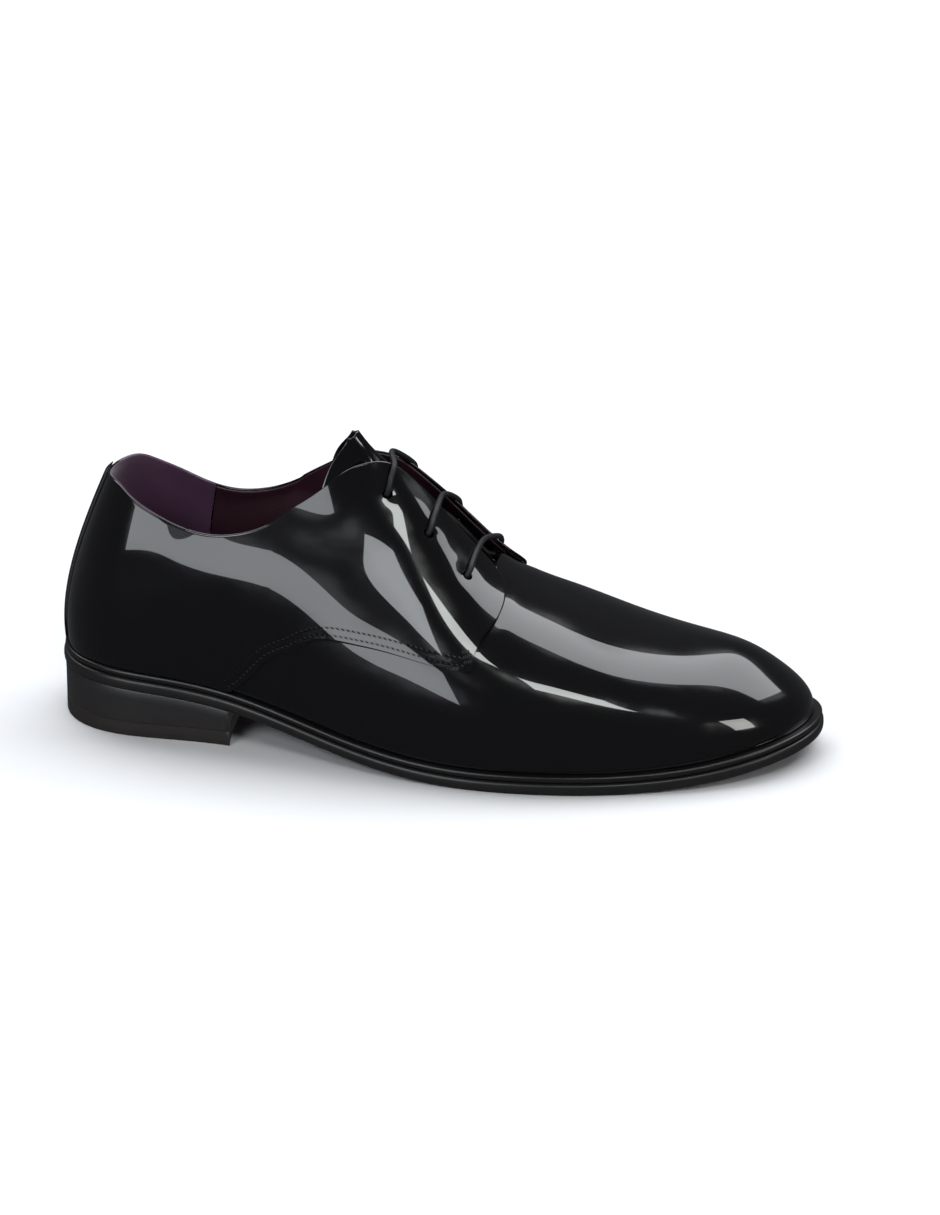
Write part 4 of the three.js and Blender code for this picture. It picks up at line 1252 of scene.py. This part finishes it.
cuts = [nearest(bar(k)[1]) for k in (1, 2, 0)]
spans = [(0, cuts[0]), (cuts[0], cuts[1]), (cuts[1], cuts[2]), (cuts[2], len(lace_path) - 1)]
owners = ["medial", "lateral", "medial", "lateral"]
for number, ((first, last), word) in enumerate(zip(spans, owners), 1):
    cord = cord_tube(
        f"lace_run_{number}", lace_path[first : last + 1], lace_at[first : last + 1], LACE / 2, cord_finish,
        round_ends=(number == 1, number == len(spans)),
    )
    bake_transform(cord)
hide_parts("shoelace")

# %% [markdown]
# ## Stitching
# Two rows of black thread run along the curved seam. A stitch repeats, so Geometry Nodes make it:
# the tree resamples a line on the leather, sets one small slanted stitch on each point, turns it
# along the line and out of the leather, and ends as a plain mesh.


# %% Shape of one stitch
THREAD_SIDES = 8


def stitch_shape(length, width, height):
    """A short plump bar of thread, its ends turned down into the leather."""
    turn = np.linspace(0, 2 * np.pi, THREAD_SIDES, endpoint=False)
    half = [(0, 1, 0), (0.72, 0.85, 0.25), (1, 0.35, 0.9)]  # place, size and sink, from the middle
    rings = []
    for at, size, sink in [(-at, size, sink) for at, size, sink in half[:0:-1]] + half:
        rings.append(np.column_stack([
            np.full(THREAD_SIDES, at * length / 2), size * width / 2 * np.cos(turn),
            size * height / 2 * np.sin(turn) - sink * height / 2,
        ]))
    end = np.arange(THREAD_SIDES)
    faces = ring_wall(rings)
    faces += [end[::-1].tolist(), (end + (len(rings) - 1) * THREAD_SIDES).tolist()]
    return facing_out(make_object("stitch_pattern", np.concatenate(rings), faces, thread))


def stitching_tree():
    """Geometry nodes that set a stitch along each edge line of the object they are given."""
    tree = bpy.data.node_groups.new("stitching", "GeometryNodeTree")
    for word, kind, direction in (
        ("Line", "NodeSocketGeometry", "INPUT"), ("Pitch", "NodeSocketFloat", "INPUT"),
        ("Slant", "NodeSocketFloat", "INPUT"), ("Stitch", "NodeSocketObject", "INPUT"),
        ("Thread", "NodeSocketMaterial", "INPUT"), ("Stitches", "NodeSocketGeometry", "OUTPUT"),
    ):
        tree.interface.new_socket(word, in_out=direction, socket_type=kind)

    def node(kind, settings=None, **links):
        made = tree.nodes.new(kind)
        for word, value in (settings or {}).items():
            setattr(made, word, value)
        for word, source in links.items():
            target = made.inputs[int(word[1:])] if word[0] == "_" else made.inputs[word]
            if isinstance(source, bpy.types.NodeSocket):
                tree.links.new(source, target)
            else:
                target.default_value = source
        return made

    given = node("NodeGroupInput")
    line = node("GeometryNodeMeshToCurve", Mesh=given.outputs["Line"])
    even = node(
        "GeometryNodeResampleCurve", {"mode": "LENGTH"}, Curve=line.outputs[0], Length=given.outputs["Pitch"],
    )
    out = node("GeometryNodeInputNamedAttribute", {"data_type": "FLOAT_VECTOR"}, Name="leather_out")
    tangent = node("GeometryNodeInputTangent")
    upright = node("FunctionNodeAxesToRotation", {"primary_axis": "Z", "secondary_axis": "X"})
    tree.links.new(out.outputs["Attribute"], upright.inputs[0])
    tree.links.new(tangent.outputs[0], upright.inputs[1])
    turn = node("ShaderNodeCombineXYZ", Z=given.outputs["Slant"])
    slant = node("FunctionNodeEulerToRotation", _0=turn.outputs[0])
    slanted = node(
        "FunctionNodeRotateRotation", {"rotation_space": "LOCAL"}, _0=upright.outputs[0], _1=slant.outputs[0],
    )
    stitch = node("GeometryNodeObjectInfo", Object=given.outputs["Stitch"])
    placed = node(
        "GeometryNodeInstanceOnPoints", Points=even.outputs[0], Instance=stitch.outputs["Geometry"],
        Rotation=slanted.outputs[0],
    )
    solid = node("GeometryNodeRealizeInstances", Geometry=placed.outputs[0])
    dressed = node("GeometryNodeSetMaterial", Geometry=solid.outputs[0], Material=given.outputs["Thread"])
    result = node("NodeGroupOutput")
    tree.links.new(dressed.outputs[0], result.inputs[0])
    return tree


stitch_tree = stitching_tree()
print("the stitching tree has", len(stitch_tree.nodes), "nodes")


# %% Stitch along a line
def stitched(name, lines, outs, pitch, slant, pattern):
    """Real stitches along lines of points in millimetres, with the leather's outward directions."""
    points, edges = np.concatenate(lines), []
    start = 0
    for line in lines:
        edges += [(start + k, start + k + 1) for k in range(len(line) - 1)]
        start += len(line)
    mesh = bpy.data.meshes.new(name)
    mesh.from_pydata((points * MM).tolist(), edges, [])
    mesh.attributes.new("leather_out", "FLOAT_VECTOR", "POINT").data.foreach_set(
        "vector", np.concatenate(outs).astype(np.float32).ravel()
    )
    obj = bpy.data.objects.new(name, mesh)
    collection.objects.link(obj)
    sewing = obj.modifiers.new("stitching", "NODES")
    sewing.node_group = stitch_tree
    inputs = {s.name: s.identifier for s in stitch_tree.interface.items_tree if s.in_out == "INPUT"}
    for word, value in (("Pitch", pitch * MM), ("Slant", slant), ("Stitch", pattern), ("Thread", thread)):
        sewing[inputs[word]] = value
    made = bpy.data.meshes.new_from_object(obj.evaluated_get(bpy.context.evaluated_depsgraph_get()))
    obj.modifiers.clear()
    obj.data = made
    made.polygons.foreach_set("use_smooth", [True] * len(made.polygons))
    print(name, len(made.polygons), "faces")
    return obj


def row_on(side, offset, stations):
    """A line on the quarter, some millimetres above its seam edge, and the leather's directions."""
    foot = quarter_foot(stations)
    base = over_last(side, stations, foot, QUARTER_TOP)
    upper = over_last(side, stations, foot + 0.02, QUARTER_TOP)
    edge = unit(np.gradient(base, axis=0))
    rise = upper - base
    rise = unit(rise - (rise * edge).sum(1, keepdims=True) * edge)
    out = outward(side, stations, foot)
    return base + offset * rise - BEDDED * out, out


THREAD_PITCH, BEDDED, ROW_SLANT = 2.15, 0.1, math.radians(20)
ROW_ENDS = ((-74.5, 18.5), (-74.5, 17))  # first and last station of each row
pattern = stitch_shape(length=1.75, width=0.62, height=0.5)
for side, word in SIDES:
    rows = [row_on(side, row, np.linspace(*ends, 140)) for row, ends in zip(SEAM_ROWS, ROW_ENDS)]
    lines, outs = zip(*rows)
    rows = stitched(word + "_seam_stitches", lines, outs, THREAD_PITCH, ROW_SLANT * side, pattern)
    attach(rows, "shoe")


# %% Bar tack at the foot of each facing
def tack_lines(side):
    """Close rows of thread at the facing's lowest point, square to its front edge."""
    lines, outs = [], []
    for step in np.linspace(0, 1, 3):
        x = np.linspace(19.2, 21.4, 6) - 1.2 * step
        s = np.linspace(0.383, 0.398, 6) + 0.028 * step
        lines.append(over_last(side, x, s, QUARTER_TOP - 0.05))
        outs.append(outward(side, x, s))
    return lines, outs


TACK_PITCH, TACK_SLANT = 0.75, math.radians(78)
for side, word in SIDES:
    tack = stitched(word + "_bar_tack", *tack_lines(side), TACK_PITCH, TACK_SLANT, pattern)
    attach(tack, "shoe")
bpy.data.objects.remove(pattern)

# %% [markdown]
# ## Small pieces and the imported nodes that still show
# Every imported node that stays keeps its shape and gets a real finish: steel nails, cork, the fibre
# board of the counter and toe puff, black eyelets and the insole.

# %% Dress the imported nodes
finishes = {
    "patent_leather": patent, "sole_edge": edge_black, "welt_leather": welt_black, "heel_leather": heel_black,
    "top_piece_rubber": rubber, "nail_steel": steel, "eyelet_metal": eyelet_metal, "insole_board": board,
    "sock_suede": sock_suede, "grip_suede": grip_suede, "lining_leather": lining, "cork": cork,
    "counter_board": board, "waxed_cord": thread, "aglet_plastic": thread,
}
slots = {row["node"]: row["material_slot"] for row in frame["record"]["subparts"]}
for node, obj in frame["nodes"].items():
    obj.data.materials.clear()
    obj.data.materials.append(finishes[slots[node]])
print("dressed", len(slots), "packed nodes")

# %% [markdown]
# ## Stage, light and camera
# Patent leather shows what is around it more than what it is. So the light is planned as shapes. A wide
# silk hangs above and behind, and fills the upper surfaces with a soft grey. Two boxes at the camera's
# left light the quarter, one high and one low. One in front draws the streak on the toe, and one at the
# right edges it. The room is dim, and the pale floor is hidden from reflections, so that the leather
# stays black down to the welt.


# %% Floor and room
FLOOR_HALF = 4000.0


def stage_floor():
    finish = Finish("pale_floor", Specular_IOR_Level=0.3)
    grain = finish.noise(9.0, detail=3.0)
    colour = finish.blend_colours(grain, (0.86, 0.86, 0.875, 1), (0.89, 0.89, 0.9, 1))
    material = finish.paint(Base_Color=colour, Roughness=0.55 + grain * 0.1)
    corners = [(FLOOR_HALF * x, FLOOR_HALF * y, 0) for x, y in ((-1, -1), (1, -1), (1, 1), (-1, 1))]
    floor = make_object("floor", corners, [[0, 1, 2, 3]], material)
    floor.visible_glossy = False
    floor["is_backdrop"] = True


stage_floor()
world = bpy.data.worlds.new("room")
bpy.context.scene.world = world
world.use_nodes = True
room = world.node_tree.nodes["Background"].inputs
room["Color"].default_value, room["Strength"].default_value = (0.93, 0.95, 1.0, 1), 0.07
print("floor and room are set")


# %% Softboxes and camera
def aim(obj, at):
    direction = Vector(at) - obj.location
    obj.rotation_mode = "QUATERNION"
    obj.rotation_quaternion = direction.to_track_quat("-Z", "Y")


def softbox(name, where, at, width, height, power, colour):
    """A lit panel: places and sizes in metres, power in watts."""
    data = bpy.data.lights.new(name, "AREA")
    data.shape, data.size, data.size_y, data.energy, data.color = "RECTANGLE", width, height, power, colour
    light = bpy.data.objects.new(name, data)
    light.location = where
    collection.objects.link(light)
    aim(light, at)


TOWARD_QUARTER, TOWARD_TOE, COOL = (-0.05, 0, 0.06), (0.05, 0, 0.05), (0.93, 0.97, 1)
softbox("ceiling_silk", (0.0, 1.1, 2.3), (0, 0.5, 0), 5.0, 1.6, 110, (0.95, 0.97, 1))
softbox("softbox_left", (-0.55, -1.3, 0.98), TOWARD_QUARTER, 0.75, 0.4, 6, COOL)
softbox("low_panel", (-0.7, -1.25, 0.3), TOWARD_QUARTER, 0.75, 0.36, 3.6, COOL)
softbox("softbox_front", (0.75, -1.35, 1.75), TOWARD_TOE, 0.9, 0.28, 9, (0.96, 1, 0.98))
softbox("softbox_right", (1.7, -0.9, 0.8), TOWARD_TOE, 0.35, 0.7, 6, (1, 1, 0.98))

azimuth, elevation, distance = math.radians(11), math.radians(22.5), 1.7
level = np.array([math.sin(azimuth), -math.cos(azimuth), 0]) * math.cos(elevation)
back = level + (0, 0, math.sin(elevation))
right = np.array([math.cos(azimuth), math.sin(azimuth), 0])
target = np.array([0, CENTRE_Y * MM, 0.05]) + 0.012 * right
camera_data = bpy.data.cameras.new("camera")
camera_data.lens, camera_data.sensor_width = 130, 36
camera = bpy.data.objects.new("camera", camera_data)
camera.location = (target + back * distance).tolist()
collection.objects.link(camera)
aim(camera, target.tolist())
bpy.context.scene.camera = camera
bpy.context.scene.view_settings.view_transform = "Standard"

# %% Measure and finish
low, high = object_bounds()
grown = [round(1000 * (a - b), 1) for a, b in zip([*cad_low, *high], [*low, *cad_high])]
print("visual box grows, mm:", grown)
